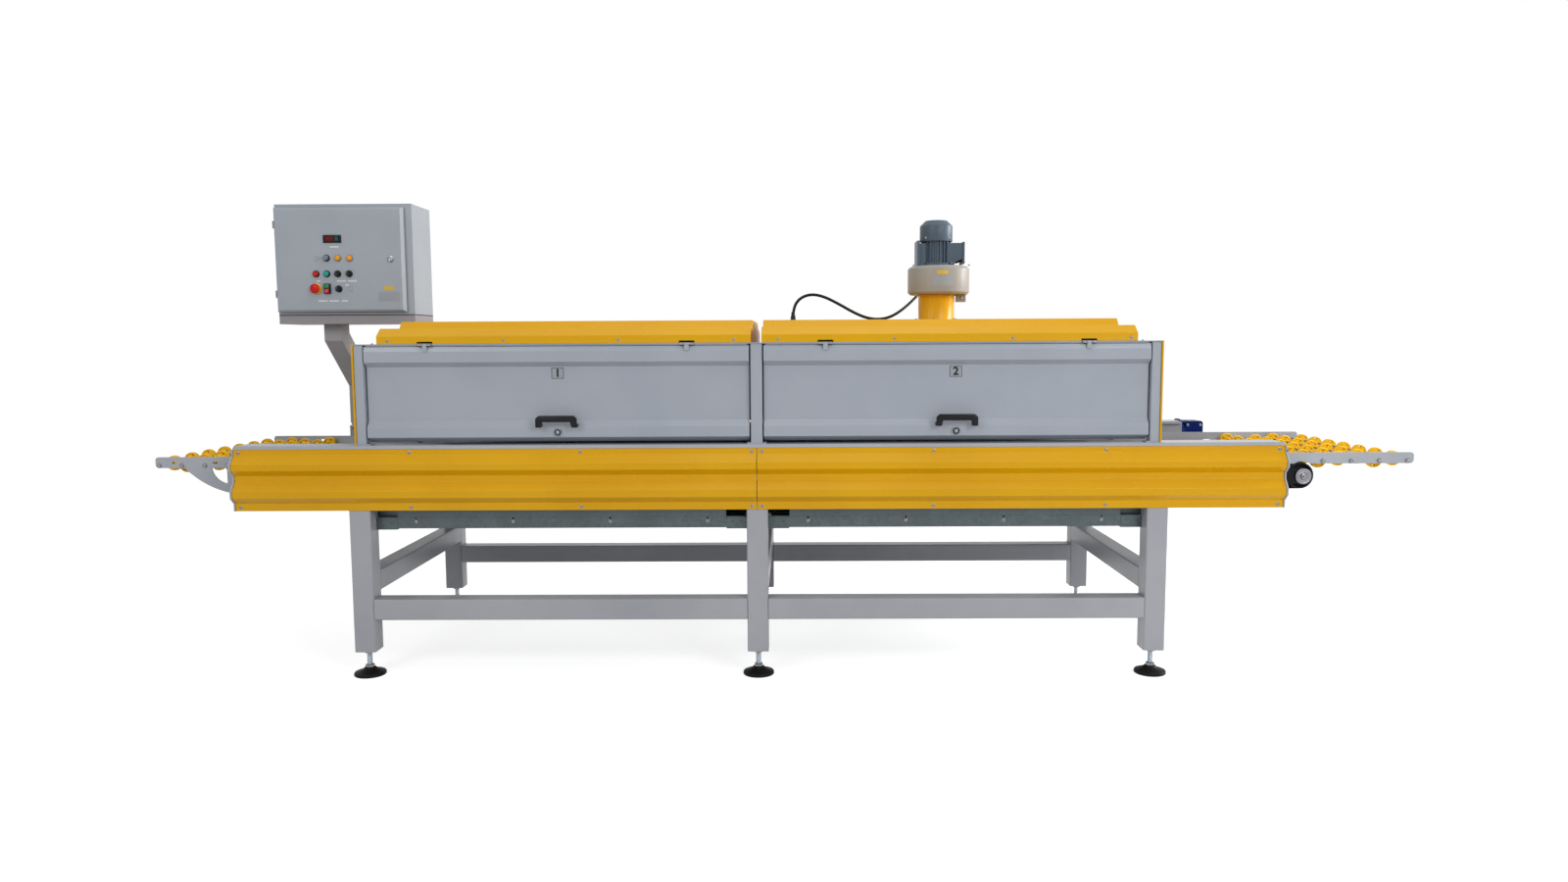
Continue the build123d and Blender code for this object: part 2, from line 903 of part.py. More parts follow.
def make_gearbox():
    """A worm gearbox: a block with a round wheel case, a boss, and a neck for the motor."""
    left, right = drive_drum_x - gearbox_length / 2, drive_drum_x + gearbox_length / 2
    high = worm_axis + gearbox_rise
    near, far = gearbox_near + gear_case_inset, gearbox_far - gear_case_inset
    case = block(left, right, gearbox_near, gearbox_far, gearbox_low, high)
    case = fillet(case.edges().filter_by(Axis.Y).group_by(Axis.Z)[-1], gearbox_corner)
    case += rod(gear_case_diameter / 2, (drive_drum_x, near, drum_axis), (drive_drum_x, far, drum_axis))
    case += rod(neck_diameter / 2, (motor_start, gearbox_y, worm_axis), (left, gearbox_y, worm_axis))
    boss = gearbox_near - boss_length
    case += rod(boss_diameter / 2, (drive_drum_x, boss, drum_axis), (drive_drum_x, gearbox_near, drum_axis))
    return case - rod(
        shaft_diameter / 2 + shaft_clearance,
        (drive_drum_x, boss - 1, drum_axis),
        (drive_drum_x, gearbox_far + 1, drum_axis),
    )


def fins(count, radius, height, low, high):
    """Cooling fins round an upright motor body, from the body's radius outwards."""
    fin = block(radius - 1, radius + height, -fin_thick / 2, fin_thick / 2, low, high)
    return [Rot(0, 0, 360 / count * (index + 0.5)) * fin for index in range(count)]


def make_drive_motor():
    """The finned motor beside the gearbox, on a round flange, with its fan cowl."""
    length, radius = motor_length, motor_diameter / 2
    cowl_low = length - motor_cowl
    motor = extrude(Circle(motor_flange_diameter / 2), amount=motor_flange)
    motor += extrude(Circle(radius - fin_height), amount=length)
    motor += fins(fin_count, radius - fin_height, fin_height, motor_flange - 1, cowl_low + 1)
    motor += Pos(0, 0, cowl_low) * extrude(Circle(radius + fin_thick), amount=motor_cowl)
    return Pos(motor_start, gearbox_y, worm_axis) * Rot(0, -90, 0) * motor


def make_drive_bracket():
    """An angle bracket from the bed's end plate to the underside of the gearbox."""
    start = bed_half + end_plate_thick
    plate = block(start, start + bracket_thick, half_depth - rail_tube, gearbox_far, bed_bottom, gearbox_low)
    shelf_end = drive_drum_x + gearbox_length / 2
    shelf = block(start, shelf_end, gearbox_near, gearbox_far, gearbox_low - bracket_thick, gearbox_low)
    return plate + shelf


# Wheel tables


def axle_lines(side):
    """The axles' places along X, from the bed outwards."""
    table = 0 if side < 0 else 1
    first = bed_half + axle_starts[table]
    return [side * (first + index * axle_pitches[table]) for index in range(axles_per_table)]


def wheel_places(count):
    """The middles of the wheels of one row along Y, the full rows reaching near the plates."""
    pitch = 2 * (rail_inner - wheel_edge_gap) / (wheels_full - 1)
    return [(index - (count - 1) / 2) * pitch for index in range(count)]


def make_brace():
    """The infeed plates' curved brace back under the bed, with a window behind its bow."""
    tip = -bed_half - brace_reach
    root = (-bed_half - brace_root[0], rail_low - brace_root[1])
    bow = (-bed_half - brace_middle[0], rail_low - brace_middle[1])
    tuck = -bed_half + brace_tuck
    line = ThreePointArc((tip, rail_low), bow, root)
    line += Polyline(root, (tuck, root[1]), (tuck, rail_low + 1), (tip, rail_low + 1), (tip, rail_low))
    outer, inner = (-bed_half - reach for reach in window_reaches)
    middle = ((outer + inner) / 2 - window_bow, rail_low - window_depth / 2 - window_bow)
    window = Polyline((inner, rail_low - window_depth), (inner, rail_low), (outer, rail_low))
    window += ThreePointArc((outer, rail_low), middle, (inner, rail_low - window_depth))
    brace = prism_y(line, -rail_outer, -rail_inner)
    return brace - prism_y(window, -rail_outer - 1, -rail_inner + 1)


def make_rails(side):
    """Two side plates of one wheel table, on spacers; the infeed's run down to a curved brace."""
    end = axle_lines(side)[-1] + side * rail_margins[0 if side < 0 else 1]
    left, right = sorted((side * (bed_half - rail_overlap), end))
    plate = block(left, right, -rail_outer, -rail_inner, rail_low, rail_high)
    tips = plate.edges().filter_by(Axis.Y).group_by(Axis.X)[0 if side < 0 else -1]
    plate = fillet(tips, rail_tip)
    if side < 0:
        plate += make_brace()
        low, high = rail_low + slot_rise, rail_low + slot_rise + slot_height
        for reach in slot_reaches:
            start = -bed_half - reach - slot_length / 2
            plate -= block(start, start + slot_length, -rail_outer - 1, 0, low, high)
    else:
        notch = drum_radius + belt_thick + drum_notch_gap
        plate -= rod(notch, (drive_drum_x, -rail_outer - 1, drum_axis), (drive_drum_x, 0, drum_axis))
    for inset in spacer_insets:
        x, z = side * (bed_half - inset), rail_low + spacer_rise
        plate += rod(spacer_diameter / 2, (x, -rail_outer, z), (x, -inner_half, z))
    return both_sides(plate)


def make_axles():
    """All the fixed axles, each between its two side plates."""
    ends = (-rail_inner, rail_inner)
    return [
        rod(axle_diameter / 2, (x, ends[0], axle_height), (x, ends[1], axle_height))
        for side in sides
        for x in axle_lines(side)
    ]


def make_wheel_row(x, count):
    """One row of skate wheels that turn on their axle."""
    bore = RegularPolygon(axle_diameter / 2 + wheel_bore_gap, wheel_bore_sides, major_radius=False)
    rim = RegularPolygon(wheel_diameter / 2, wheel_sides)
    wheel = extrude(rim - bore, amount=wheel_width / 2, both=True)
    return [Pos(x, y, axle_height) * Rot(90, 0, 0) * wheel for y in wheel_places(count)]


# Blower on the right-hand roof cover


def make_duct():
    """The yellow duct up from the roof, with a bolted flange below and a collar above."""
    duct = extrude(Circle(duct_diameter / 2), amount=duct_height)
    duct += extrude(Circle(duct_flange / 2), amount=duct_flange_thick)
    duct += Pos(0, 0, duct_height - duct_collar_height) * extrude(
        Circle(duct_collar / 2), amount=duct_collar_height
    )
    duct -= Pos(0, 0, -1) * extrude(Circle(duct_diameter / 2 - duct_wall), amount=duct_height + 2)
    return Pos(blower_x, 0, roof_high) * duct


def make_blower_housing():
    """The round blower casing, its cover stepped up on top, and a small outlet under its right."""
    radius = casing_diameter / 2
    casing = turned(
        (
            (0, 0),
            (radius - casing_rim, 0),
            (radius, casing_rim),
            (radius, casing_height - casing_step - casing_rim),
            (radius - casing_rim, casing_height - casing_step),
            (radius - 2 * casing_rim, casing_height - casing_step),
            (radius - 2 * casing_rim, casing_height),
            (0, casing_height),
        ),
        (blower_x + casing_shift, 0, casing_low),
    )
    start = blower_x + outlet_start
    half = outlet_width / 2
    return casing + block(start, start + outlet_length, -half, half, casing_low - outlet_drop, casing_low + 1)


def make_blower_motor():
    """The upright motor: finned body, fan cowl, terminal box on the right and feet on the left."""
    radius = blower_motor_diameter / 2
    motor = extrude(Circle(radius + fin_height + fin_thick), amount=motor_flange)
    motor += extrude(Circle(radius), amount=motor_body_height + 1)
    motor += fins(fin_count, radius, fin_height, motor_flange - 1, motor_body_height + 1)
    cowl = extrude(Circle(cowl_diameter / 2), amount=cowl_height)
    cowl = chamfer(cowl.edges().filter_by(GeomType.CIRCLE).group_by(Axis.Z)[-1], cowl_shoulder)
    motor += Pos(0, 0, motor_body_height) * cowl
    half, low, high = terminal_width / 2, terminal_rise, terminal_rise + terminal_height
    lid = terminal_reach - terminal_lid
    inset = terminal_lid / 2
    neck = Polyline(
        (terminal_start, low),
        (lid, low + inset + terminal_slope),
        (lid, high - inset),
        (terminal_start, high - inset),
        close=True,
    )
    motor += prism_y(neck, -half + inset, half - inset)
    motor += block(lid, terminal_reach, -half, half, low, high)
    half, low = feet_width / 2, feet_rise
    motor += block(-feet_start - feet_thick, -feet_start, -half, half, low, low + feet_height)
    for side in sides:
        y = side * (half - feet_web)
        web = sorted((y, y + side * feet_thick))
        motor += block(-feet_start, -radius / 2, *web, low, low + feet_height - feet_thick)
    return Pos(blower_x - blower_motor_shift, 0, casing_high) * motor


def make_cable():
    """The black cable from the roof gland, sagging over the roof and up behind the blower."""
    points = [Vector(*point) for point in cable_route]
    radii = []
    for before, corner, after in zip(points, points[1:], points[2:]):
        turn = (corner - before).get_angle(after - corner)
        shorter = min((corner - before).length, (after - corner).length)
        radii.append(cable_rounding * shorter / math.tan(math.radians(turn / 2)))
    line = FilletPolyline(*points, radius=radii)
    outline = RegularPolygon(cable_diameter / 2, cable_sides)
    section = Plane(origin=points[0], z_dir=points[1] - points[0]) * outline
    cable = sweep(section, path=line)
    print("cable length", round(line.length), "radii", [round(radius) for radius in radii])
    print("cable volume", round(cable.volume), "of", round(outline.area * line.length))
    return cable


def make_gland():
    """The cable's gland on the left-hand end of the right roof cover."""
    x, y, z = cable_route[0]
    return Pos(x, y, roof_high) * extrude(RegularPolygon(gland_across / 2, 6), amount=z - roof_high)


# Control box on its arm


def make_arm():
    """A bent square tube from the back of the bed up to the box, on a foot plate."""
    bends = [trim_top + height for height in arm_bends]
    line = Polyline(
        (arm_x, arm_back, trim_top + arm_foot_thick),
        (arm_x, arm_back, bends[0]),
        (arm_x, arm_front, bends[1]),
        (arm_x, arm_front, plinth_low),
    )
    start = Plane(origin=line @ 0, z_dir=(0, 0, 1))
    bore = arm_tube - 2 * arm_wall
    outer = sweep(start * Rectangle(arm_tube, arm_tube), path=line, transition=Transition.RIGHT)
    inner = sweep(start * Rectangle(bore, bore), path=line, transition=Transition.RIGHT)
    ends = (arm_x - arm_foot_ends[0], arm_x + arm_foot_ends[1])
    low = trim_top
    foot = block(*ends, arm_back - tube / 2, arm_back + tube / 2, low, low + arm_foot_thick)
    return outer - inner + foot


def hinge_heights():
    """The middles of the box door's two hinges."""
    middle = box_low + box_height / 2
    return middle - box_hinge_spread / 2, middle + box_hinge_spread / 2


def box_hinge_line():
    """The box door's hinge line, (x, y), at the box's left edge behind the door's face."""
    return pan_left - box_hinge_side, box_front - box_hinge_back


def make_enclosure():
    """The sheet steel box behind its front frame: back, sides, top and floor."""
    front = box_front + box_sheet
    shell = block(box_left, box_right, front, box_back, box_low, box_top)
    wall = box_sheet
    return shell - block(
        box_left + wall, box_right - wall, front - 1, box_back - wall, box_low + wall, box_top - wall
    )


def make_front_frame():
    """The box's front frame round the door opening, with the fixed halves of two hinges."""
    front, back = box_front, box_front + box_sheet
    frame = block(box_left, box_right, front, back, box_low, box_top)
    lip = box_return
    frame -= block(pan_left + lip, pan_right - lip, front - 1, back + 1, pan_low + lip, pan_high - lip)
    x, y = box_hinge_line()
    for z in hinge_heights():
        reach = box_knuckle_height / 2 + box_knuckle_gap
        far = reach + box_hinge_end
        frame += rod(box_hinge_pin / 2, (x, y, z - far), (x, y, z + far))
        for end in sides:
            start, stop = sorted((z + end * reach, z + end * far))
            frame += rod(box_knuckle / 2, (x, y, start), (x, y, stop))
            frame += block(x, x + box_hinge_leaf, y, front, start, stop)
    return frame


def make_plinth():
    """The shallow folded tray that joins the box to its arm."""
    wall = plinth_sheet
    plinth = block(box_left, box_right, box_front, box_back, plinth_low, box_low)
    return plinth - block(
        box_left + wall, box_right - wall, box_front + wall, box_back - wall, plinth_low + wall, box_low + 1
    )


def on_door(place):
    """A place on the box door, (x, z), from one measured off the box's lower left corner."""
    return box_left + place[0], box_low + place[1]


def make_control_door():
    """The box's sheet steel door, a shallow pan with bevelled edges and holes for its controls."""
    wall, bevel = box_door_sheet, box_door_bevel
    door = block(pan_left, pan_right, door_face, door_back, pan_low, pan_high)
    door = chamfer(door.faces().sort_by(Axis.Y)[0].edges(), bevel)
    hollow = block(
        pan_left + wall, pan_right - wall, door_face + wall, door_back + 1, pan_low + wall, pan_high - wall
    )
    door -= chamfer(hollow.faces().sort_by(Axis.Y)[0].edges(), bevel)
    x, y = box_hinge_line()
    for z in hinge_heights():
        ends = (z - box_knuckle_height / 2, z + box_knuckle_height / 2)
        door += rod(box_knuckle / 2, (x, y, ends[0]), (x, y, ends[1]))
        door += block(x, pan_left + wall / 2, y - wall / 2, y + wall / 2, *ends)
        door -= rod(box_hinge_pin / 2 + pin_clearance, (x, y, ends[0] - 1), (x, y, ends[1] + 1))
    for place in (*turning_controls, *pushing_controls, emergency_place):
        cx, cz = on_door(place)
        door -= rod(control_stem / 2 + pin_clearance, (cx, door_face - 1, cz), (cx, door_face + wall + 1, cz))
    return door


def collar(place, radius, height):
    """A bezel ring on the door face with the stem's bore through it."""
    x, z = on_door(place)
    ring = rod(radius, (x, door_face - height, z), (x, door_face, z))
    bore = rod(control_stem / 2 + pin_clearance, (x, door_face - height - 1, z), (x, door_face + 1, z))
    return ring - bore


def badge(place, size):
    """A rectangular fitting on the door face, its size given across, up and forwards."""
    x, z = on_door(place)
    wide, high, reach = size
    return block(x - wide / 2, x + wide / 2, door_face - reach, door_face, z - high / 2, z + high / 2)


def disc(place, radius, reach):
    """A round fitting on the door face."""
    x, z = on_door(place)
    return rod(radius, (x, door_face - reach, z), (x, door_face, z))


def make_control_fittings():
    """Everything fixed on the door: bezels, lamps, display, double push switch, plugs and lock."""
    pieces = [collar(place, control_size / 2, bezel) for place in turning_controls + pushing_controls]
    pieces.append(collar(emergency_place, emergency_collar / 2, bezel))
    pieces += [disc(place, control_size / 2, lamp_reach) for place in lamp_places]
    pieces += [disc(place, knob_size / 2, plug_thick) for place in plug_places]
    pieces.append(disc(box_lock_place, box_lock_diameter / 2, box_lock_reach))
    pieces.append(badge(display_place, display_size))
    pieces.append(badge(switch_place, switch_size))
    return pieces


def stem(place, size, reach):
    """A round control head in front of its bezel, on a stem through the door."""
    x, z = on_door(place)
    head = door_face - bezel - press_travel
    piece = rod(size / 2, (x, head - reach, z), (x, head, z))
    return piece + rod(control_stem / 2, (x, head, z), (x, door_face + box_door_sheet + stem_tail, z))


def make_selector(place):
    """A selector knob with a raised grip bar turned to the upper left."""
    x, z = on_door(place)
    wide, deep, long = selector_grip
    front = door_face - bezel - press_travel - selector_head
    bar = Pos(x, front - deep / 2 + 1, z) * Rot(0, selector_turn, 0) * Box(wide, deep, long)
    return stem(place, knob_size, selector_head) + bar


def export_all(nodes):
    """Moves every node so that the origin is under the middle of the whole, and writes it."""
    os.makedirs("parts", exist_ok=True)
    boxes = [solid.bounding_box() for solids in nodes.values() for solid in solids]
    x = (min(box.min.X for box in boxes) + max(box.max.X for box in boxes)) / 2
    y = (min(box.min.Y for box in boxes) + max(box.max.Y for box in boxes)) / 2
    z = min(box.min.Z for box in boxes)
    for name, solids in nodes.items():
        moved = [Pos(-x, -y, -z) * solid for solid in solids]
        export_step(moved[0] if len(moved) == 1 else Compound(children=moved), f"parts/{name}.step")
    print("shift", round(-x, 4), round(-y, 4), round(-z, 4))


nodes = {
    "frame_legs": make_legs(),
    "frame_stretchers": make_stretchers(),
    "foot_pads": make_pads(),
    "foot_studs": make_studs(),
    "bed_beams": make_bed_beams(),
    "bed_lower_rails": make_lower_rails(),
    "bed_cross_beams": make_cross_beams(),
    "bed_top_trims": make_trims(),
    "front_skirt": make_skirt(-1),
    "rear_skirt": make_skirt(1),
    "skirt_end_plates": make_end_plates(),
    "oven_posts": make_posts(),
    "oven_deck": [make_deck()],
    "end_wall_left": [make_end_wall(-1)],
    "end_wall_right": [make_end_wall(1)],
    "rear_panels": make_rear_panels(),
    "roof_cover_left": [make_roof_cover(-1)],
    "roof_cover_right": [make_roof_cover(1)],
    "bottom_trays": make_trays(),
    "flap_hinges": make_flap_hinges(),
    "mesh_belt": [make_belt()],
    "drive_drum": [make_drum(drive_drum_x, gearbox_far + shaft_stub)],
    "tail_drum": [make_drum(tail_drum_x, shaft_reach)],
    "drum_bearings": make_drum_bearings(),
    "gearbox": [make_gearbox()],
    "drive_motor": [make_drive_motor()],
    "drive_bracket": [make_drive_bracket()],
    "infeed_rails": make_rails(-1),
    "outfeed_rails": make_rails(1),
    "wheel_axles": make_axles(),
    "blower_duct": [make_duct()],
    "blower_housing": [make_blower_housing()],
    "blower_motor": [make_blower_motor()],
    "motor_cable": [make_cable()],
    "cable_gland": [make_gland()],
    "control_arm": [make_arm()],
    "control_plinth": [make_plinth()],
    "control_enclosure": [make_enclosure()],
    "control_front_frame": [make_front_frame()],
    "control_door": [make_control_door()],
    "control_fittings": make_control_fittings(),
    "emergency_stop": [stem(emergency_place, emergency_head, emergency_reach)],
    "speed_knob": [stem(turning_controls[0], knob_size, knob_reach)],
    "push_button_red": [stem(pushing_controls[0], knob_size, button_head)],
    "push_button_teal": [stem(pushing_controls[1], knob_size, button_head)],
}
for side, name in zip(sides, ("left", "right")):
    door = make_flap_door(side)
    nodes[f"flap_door_{name}"] = [door]
    nodes[f"flap_fittings_{name}"] = make_flap_fittings(side, door)
for index, place in enumerate(turning_controls[1:]):
    nodes[f"selector_{index + 1}"] = [make_selector(place)]
for side, table in zip(sides, ("infeed", "outfeed")):
    for index, x in enumerate(axle_lines(side)):
        count = wheels_between if index % 2 else wheels_full
        nodes[f"{table}_wheels_{index + 1}"] = make_wheel_row(x, count)
export_all(nodes)
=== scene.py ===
import math

import bpy
from mathutils import Matrix, Vector


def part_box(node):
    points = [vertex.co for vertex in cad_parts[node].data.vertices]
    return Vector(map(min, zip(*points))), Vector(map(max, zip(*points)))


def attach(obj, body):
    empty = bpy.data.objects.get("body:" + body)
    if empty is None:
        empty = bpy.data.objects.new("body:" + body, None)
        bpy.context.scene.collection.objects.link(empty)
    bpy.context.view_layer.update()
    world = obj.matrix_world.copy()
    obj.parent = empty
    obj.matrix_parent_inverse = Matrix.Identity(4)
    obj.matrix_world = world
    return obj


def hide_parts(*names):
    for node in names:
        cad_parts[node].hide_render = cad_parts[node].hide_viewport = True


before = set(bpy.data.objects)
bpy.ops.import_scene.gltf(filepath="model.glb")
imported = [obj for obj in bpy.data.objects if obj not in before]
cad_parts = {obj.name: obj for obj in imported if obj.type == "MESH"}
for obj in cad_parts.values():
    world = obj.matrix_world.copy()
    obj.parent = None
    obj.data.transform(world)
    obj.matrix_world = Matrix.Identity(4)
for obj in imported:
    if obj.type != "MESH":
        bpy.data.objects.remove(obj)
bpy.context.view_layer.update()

# The studio: a white sweep of floor and background, with the camera set as low and as wide as in
# the photograph. A 24 mm lens stands 3.9 m in front of the machine at eye height, looking slightly
# down, so both ends of the machine lean into perspective.
MM = 0.001
deck_low, deck_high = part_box("oven_deck")
middle = (deck_low + deck_high) / 2


def at(x, y, z):
    """A point in metres, from millimetres right of the machine's middle, behind it and off the floor."""
    return Vector((middle.x + x * MM, middle.y + y * MM, z * MM))


def linear(code):
    """Turns an sRGB hex colour into the linear values that a shader takes."""
    parts = [int(code[i:i + 2], 16) / 255 for i in (0, 2, 4)]
    return [p / 12.92 if p <= 0.04045 else ((p + 0.055) / 1.055) ** 2.4 for p in parts] + [1.0]


def add_node(material, kind, links=None, **settings):
    """Adds a node, sets its properties, and gives its inputs values or other nodes' outputs."""
    tree = material.node_tree
    node = tree.nodes.new(kind)
    for name, value in settings.items():
        setattr(node, name, value)
    for name, value in (links or {}).items():
        if isinstance(value, bpy.types.NodeSocket):
            tree.links.new(value, node.inputs[name])
        else:
            node.inputs[name].default_value = value
    return node


def new_finish(name):
    """An empty material with its shader and output joined, ready for colour and grain."""
    material = bpy.data.materials.new(name)
    material.use_nodes = True
    material.node_tree.nodes.clear()
    shader = add_node(material, "ShaderNodeBsdfPrincipled")
    add_node(material, "ShaderNodeOutputMaterial", {"Surface": shader.outputs[0]})
    return material, shader


camera_data = bpy.data.cameras.new("camera")
camera_data.lens = 24.0
camera_data.sensor_width = 36.0
camera = bpy.data.objects.new("camera", camera_data)
bpy.context.collection.objects.link(camera)
camera_place = (136.5, -4450.1, 1265)
turn_left, look_down, roll = math.radians(0.51), math.radians(5.35), math.radians(-0.29)
aim = Matrix.Rotation(turn_left, 3, "Z") @ Matrix.Rotation(math.pi / 2 - look_down, 3, "X")
camera.rotation_euler = (aim @ Matrix.Rotation(roll, 3, "Z")).to_euler()
camera.location = at(*camera_place)
bpy.context.scene.camera = camera

# White paper floor: matt and evenly lit, so the machine's soft shadow lies on it. What the camera
# and the gloss see of it glows a little, which carries it into the white background with no edge.
paper_size, paper_glow = 80.0, 0.74


def looked_at(backdrop):
    """1 where the camera, a gloss or something clear looks at the backdrop, 0 where it only lights."""
    rays = add_node(backdrop, "ShaderNodeLightPath").outputs
    seen = add_node(backdrop, "ShaderNodeMath", {0: rays["Is Camera Ray"], 1: rays["Is Glossy Ray"]},
                    operation="MAXIMUM")
    seen = add_node(backdrop, "ShaderNodeMath", {0: seen.outputs[0], 1: rays["Is Transmission Ray"]},
                    operation="MAXIMUM")
    return seen.outputs[0]


paper, shader = new_finish("white_studio_paper")
glow = add_node(paper, "ShaderNodeMath", {0: looked_at(paper), 1: paper_glow}, operation="MULTIPLY")
paper.node_tree.links.new(glow.outputs[0], shader.inputs["Emission Strength"])
shader.inputs["Emission Color"].default_value = (1, 1, 1, 1)
shader.inputs["Base Color"].default_value = linear("D2D2D2")
shader.inputs["Roughness"].default_value = 1.0
shader.inputs["Specular IOR Level"].default_value = 0.0
bpy.ops.mesh.primitive_plane_add(size=paper_size, location=(0, 0, 0))
floor = bpy.context.object
floor.name = "studio_floor"
floor.data.materials.append(paper)

# The studio's light: an even white world, plain white to look at and less than half as strong where
# it lights the machine, and four soft lamps, two in front, one overhead and the strongest at the right.
world_light = 0.42
world = bpy.data.worlds.new("studio_light")
bpy.context.scene.world = world
world.use_nodes = True
world.node_tree.nodes.clear()
strength = add_node(world, "ShaderNodeMapRange", {"Value": looked_at(world), "To Min": world_light,
                                                  "To Max": 1.0})
sky = add_node(world, "ShaderNodeBackground", {"Color": (1, 1, 1, 1), "Strength": strength.outputs[0]})
add_node(world, "ShaderNodeOutputWorld", {"Surface": sky.outputs[0]})

lamps_aim = Vector((0, 0, 0.8))
for name, place, size, power in (
    ("front_left_softbox", (-3.0, -4.8, 3.2), 2.2, 58.0),
    ("front_right_softbox", (3.0, -4.8, 3.0), 2.0, 88.0),
    ("right_window_light", (7.4, 0.6, 3.0), 2.6, 520.0),
    ("overhead_softbox", (0.3, -0.9, 4.6), 3.2, 34.0),
):
    light = bpy.data.lights.new(name, "AREA")
    light.size = size
    light.energy = power
    lamp = bpy.data.objects.new(name, light)
    bpy.context.collection.objects.link(lamp)
    lamp.location = place
    lamp.rotation_euler = (lamps_aim - lamp.location).to_track_quat("-Z", "Y").to_euler()

bpy.context.scene.view_settings.view_transform = "Standard"

# The blower's supply cable: a black PVC flex 12 mm thick that leaves a gland on the roof, sags over
# the sheet under its own weight and climbs behind the blower to the motor's terminal box.
cable_thickness, cable_length = 12, 1.06
cable_route = (
    (138, -137, 1364), (138, -137, 1402), (160, -136, 1444), (205, -134, 1464), (258, -130, 1457),
    (320, -124, 1427), (385, -113, 1390), (440, -95, 1367), (490, -65, 1361), (540, -20, 1369),
    (590, 45, 1394), (640, 110, 1431), (690, 160, 1478), (745, 188, 1530), (800, 178, 1578),
    (830, 141, 1601), (834, 93, 1609), (834, 48, 1610),
)
flex = bpy.data.curves.new("blower_cable", "CURVE")
flex.dimensions = "3D"
flex.bevel_depth = cable_thickness * MM / 2
flex.bevel_resolution = 5
flex.use_fill_caps = True
line = flex.splines.new("NURBS")
line.points.add(len(cable_route) - 1)
for point, place in zip(line.points, cable_route):
    point.co = (*at(*place), 1.0)
line.order_u = 3
line.use_endpoint_u = True
line.resolution_u = 8
cable = bpy.data.objects.new("blower_cable", flex)
bpy.context.collection.objects.link(cable)


def cells(size):
    """The scale at which noise or cells come out a given number of millimetres across."""
    return 1 / (size * MM)


# Extruded black PVC: almost black and half glossy, with a faintly uneven skin from the die.
pvc, shader = new_finish("extruded_black_pvc")
shader.inputs["Roughness"].default_value = 0.38
shader.inputs["Specular IOR Level"].default_value = 0.2
place = add_node(pvc, "ShaderNodeTexCoord").outputs["Object"]
grain = add_node(pvc, "ShaderNodeTexNoise", {"Vector": place, "Scale": cells(6), "Detail": 3.0})
tint = add_node(pvc, "ShaderNodeMix", {0: grain.outputs["Fac"], 6: linear("08090A"), 7: linear("101112")},
                data_type="RGBA")
bump = add_node(pvc, "ShaderNodeBump", {"Height": grain.outputs["Fac"], "Strength": 0.15,
                                        "Distance": 0.4 * MM})
pvc.node_tree.links.new(tint.outputs[2], shader.inputs["Base Color"])
pvc.node_tree.links.new(bump.outputs[0], shader.inputs["Normal"])
flex.materials.append(pvc)
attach(cable, "machine")
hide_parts("motor_cable")

# Cable glands: moulded black nylon, a hexagon screwed into the sheet, a domed nut and a tapered
# sleeve that grips the flex, one on the roof and one on the side of the motor's terminal box.
FACING = {
    "up": (0, 0, 0),
    "front": (math.pi / 2, 0, 0),
    "rear": (math.pi / 2, 0, math.pi),
    "right": (math.pi / 2, 0, math.pi / 2),
    "left": (math.pi / 2, 0, -math.pi / 2),
}


def only(piece):
    """Selects one object alone and makes it the active one."""
    bpy.ops.object.select_all(action="DESELECT")
    piece.select_set(True)
    bpy.context.view_layer.objects.active = piece


def turn(rings, sides=48, hollow=False):
    """Turns a piece round Z: a circle at the first (radius, height) is extruded from ring to ring.

    Its two ends are then closed, or joined to each other where the piece is hollow.
    """
    bpy.ops.object.select_all(action="DESELECT")
    bpy.ops.mesh.primitive_circle_add(vertices=sides, radius=rings[0][0] * MM, location=(0, 0, 0))
    bpy.ops.object.mode_set(mode="EDIT")
    bpy.ops.mesh.select_all(action="SELECT")
    bpy.ops.transform.translate(value=(0, 0, rings[0][1] * MM))
    for (before, low), (radius, height) in zip(rings, rings[1:]):
        bpy.ops.mesh.extrude_edges_move(TRANSFORM_OT_translate={"value": (0, 0, (height - low) * MM)})
        grow = radius / before
        bpy.ops.transform.resize(value=(grow, grow, 1), center_override=(0, 0, height * MM))
    bpy.ops.mesh.select_all(action="DESELECT")
    bpy.ops.mesh.select_non_manifold()
    if hollow:
        bpy.ops.mesh.bridge_edge_loops()
    else:
        bpy.ops.mesh.fill_holes(sides=0)
    bpy.ops.mesh.select_all(action="SELECT")
    bpy.ops.mesh.normals_make_consistent(inside=False)
    bpy.ops.object.mode_set(mode="OBJECT")
    return bpy.context.object


def join(pieces):
    """Joins several objects into the first of them."""
    bpy.ops.object.select_all(action="DESELECT")
    for piece in pieces:
        piece.select_set(True)
    bpy.context.view_layer.objects.active = pieces[0]
    bpy.ops.object.join()
    return pieces[0]


def copies(template, spots):
    """Sets a copy of a template at each spot, (point, facing), and joins them into one piece."""
    made = []
    for point, facing in spots:
        twin = template.copy()
        twin.data = template.data.copy()
        bpy.context.collection.objects.link(twin)
        twin.location = point
        twin.rotation_euler = FACING[facing]
        made.append(twin)
    bpy.data.objects.remove(template)
    return join(made)


def fit(piece, name, material, body, slot, *nodes):
    """Finishes a piece: its place goes into its mesh, and it takes its finish, its body and its nodes."""
    only(piece)
    bpy.ops.object.transform_apply(location=True, rotation=True, scale=True)
    bpy.ops.object.shade_smooth_by_angle(angle=math.radians(35))
    piece.name = piece.data.name = name
    piece.data.materials.clear()
    piece.data.materials.append(material)
    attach(piece, body)
    if nodes:
        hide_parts(*nodes)
    return piece


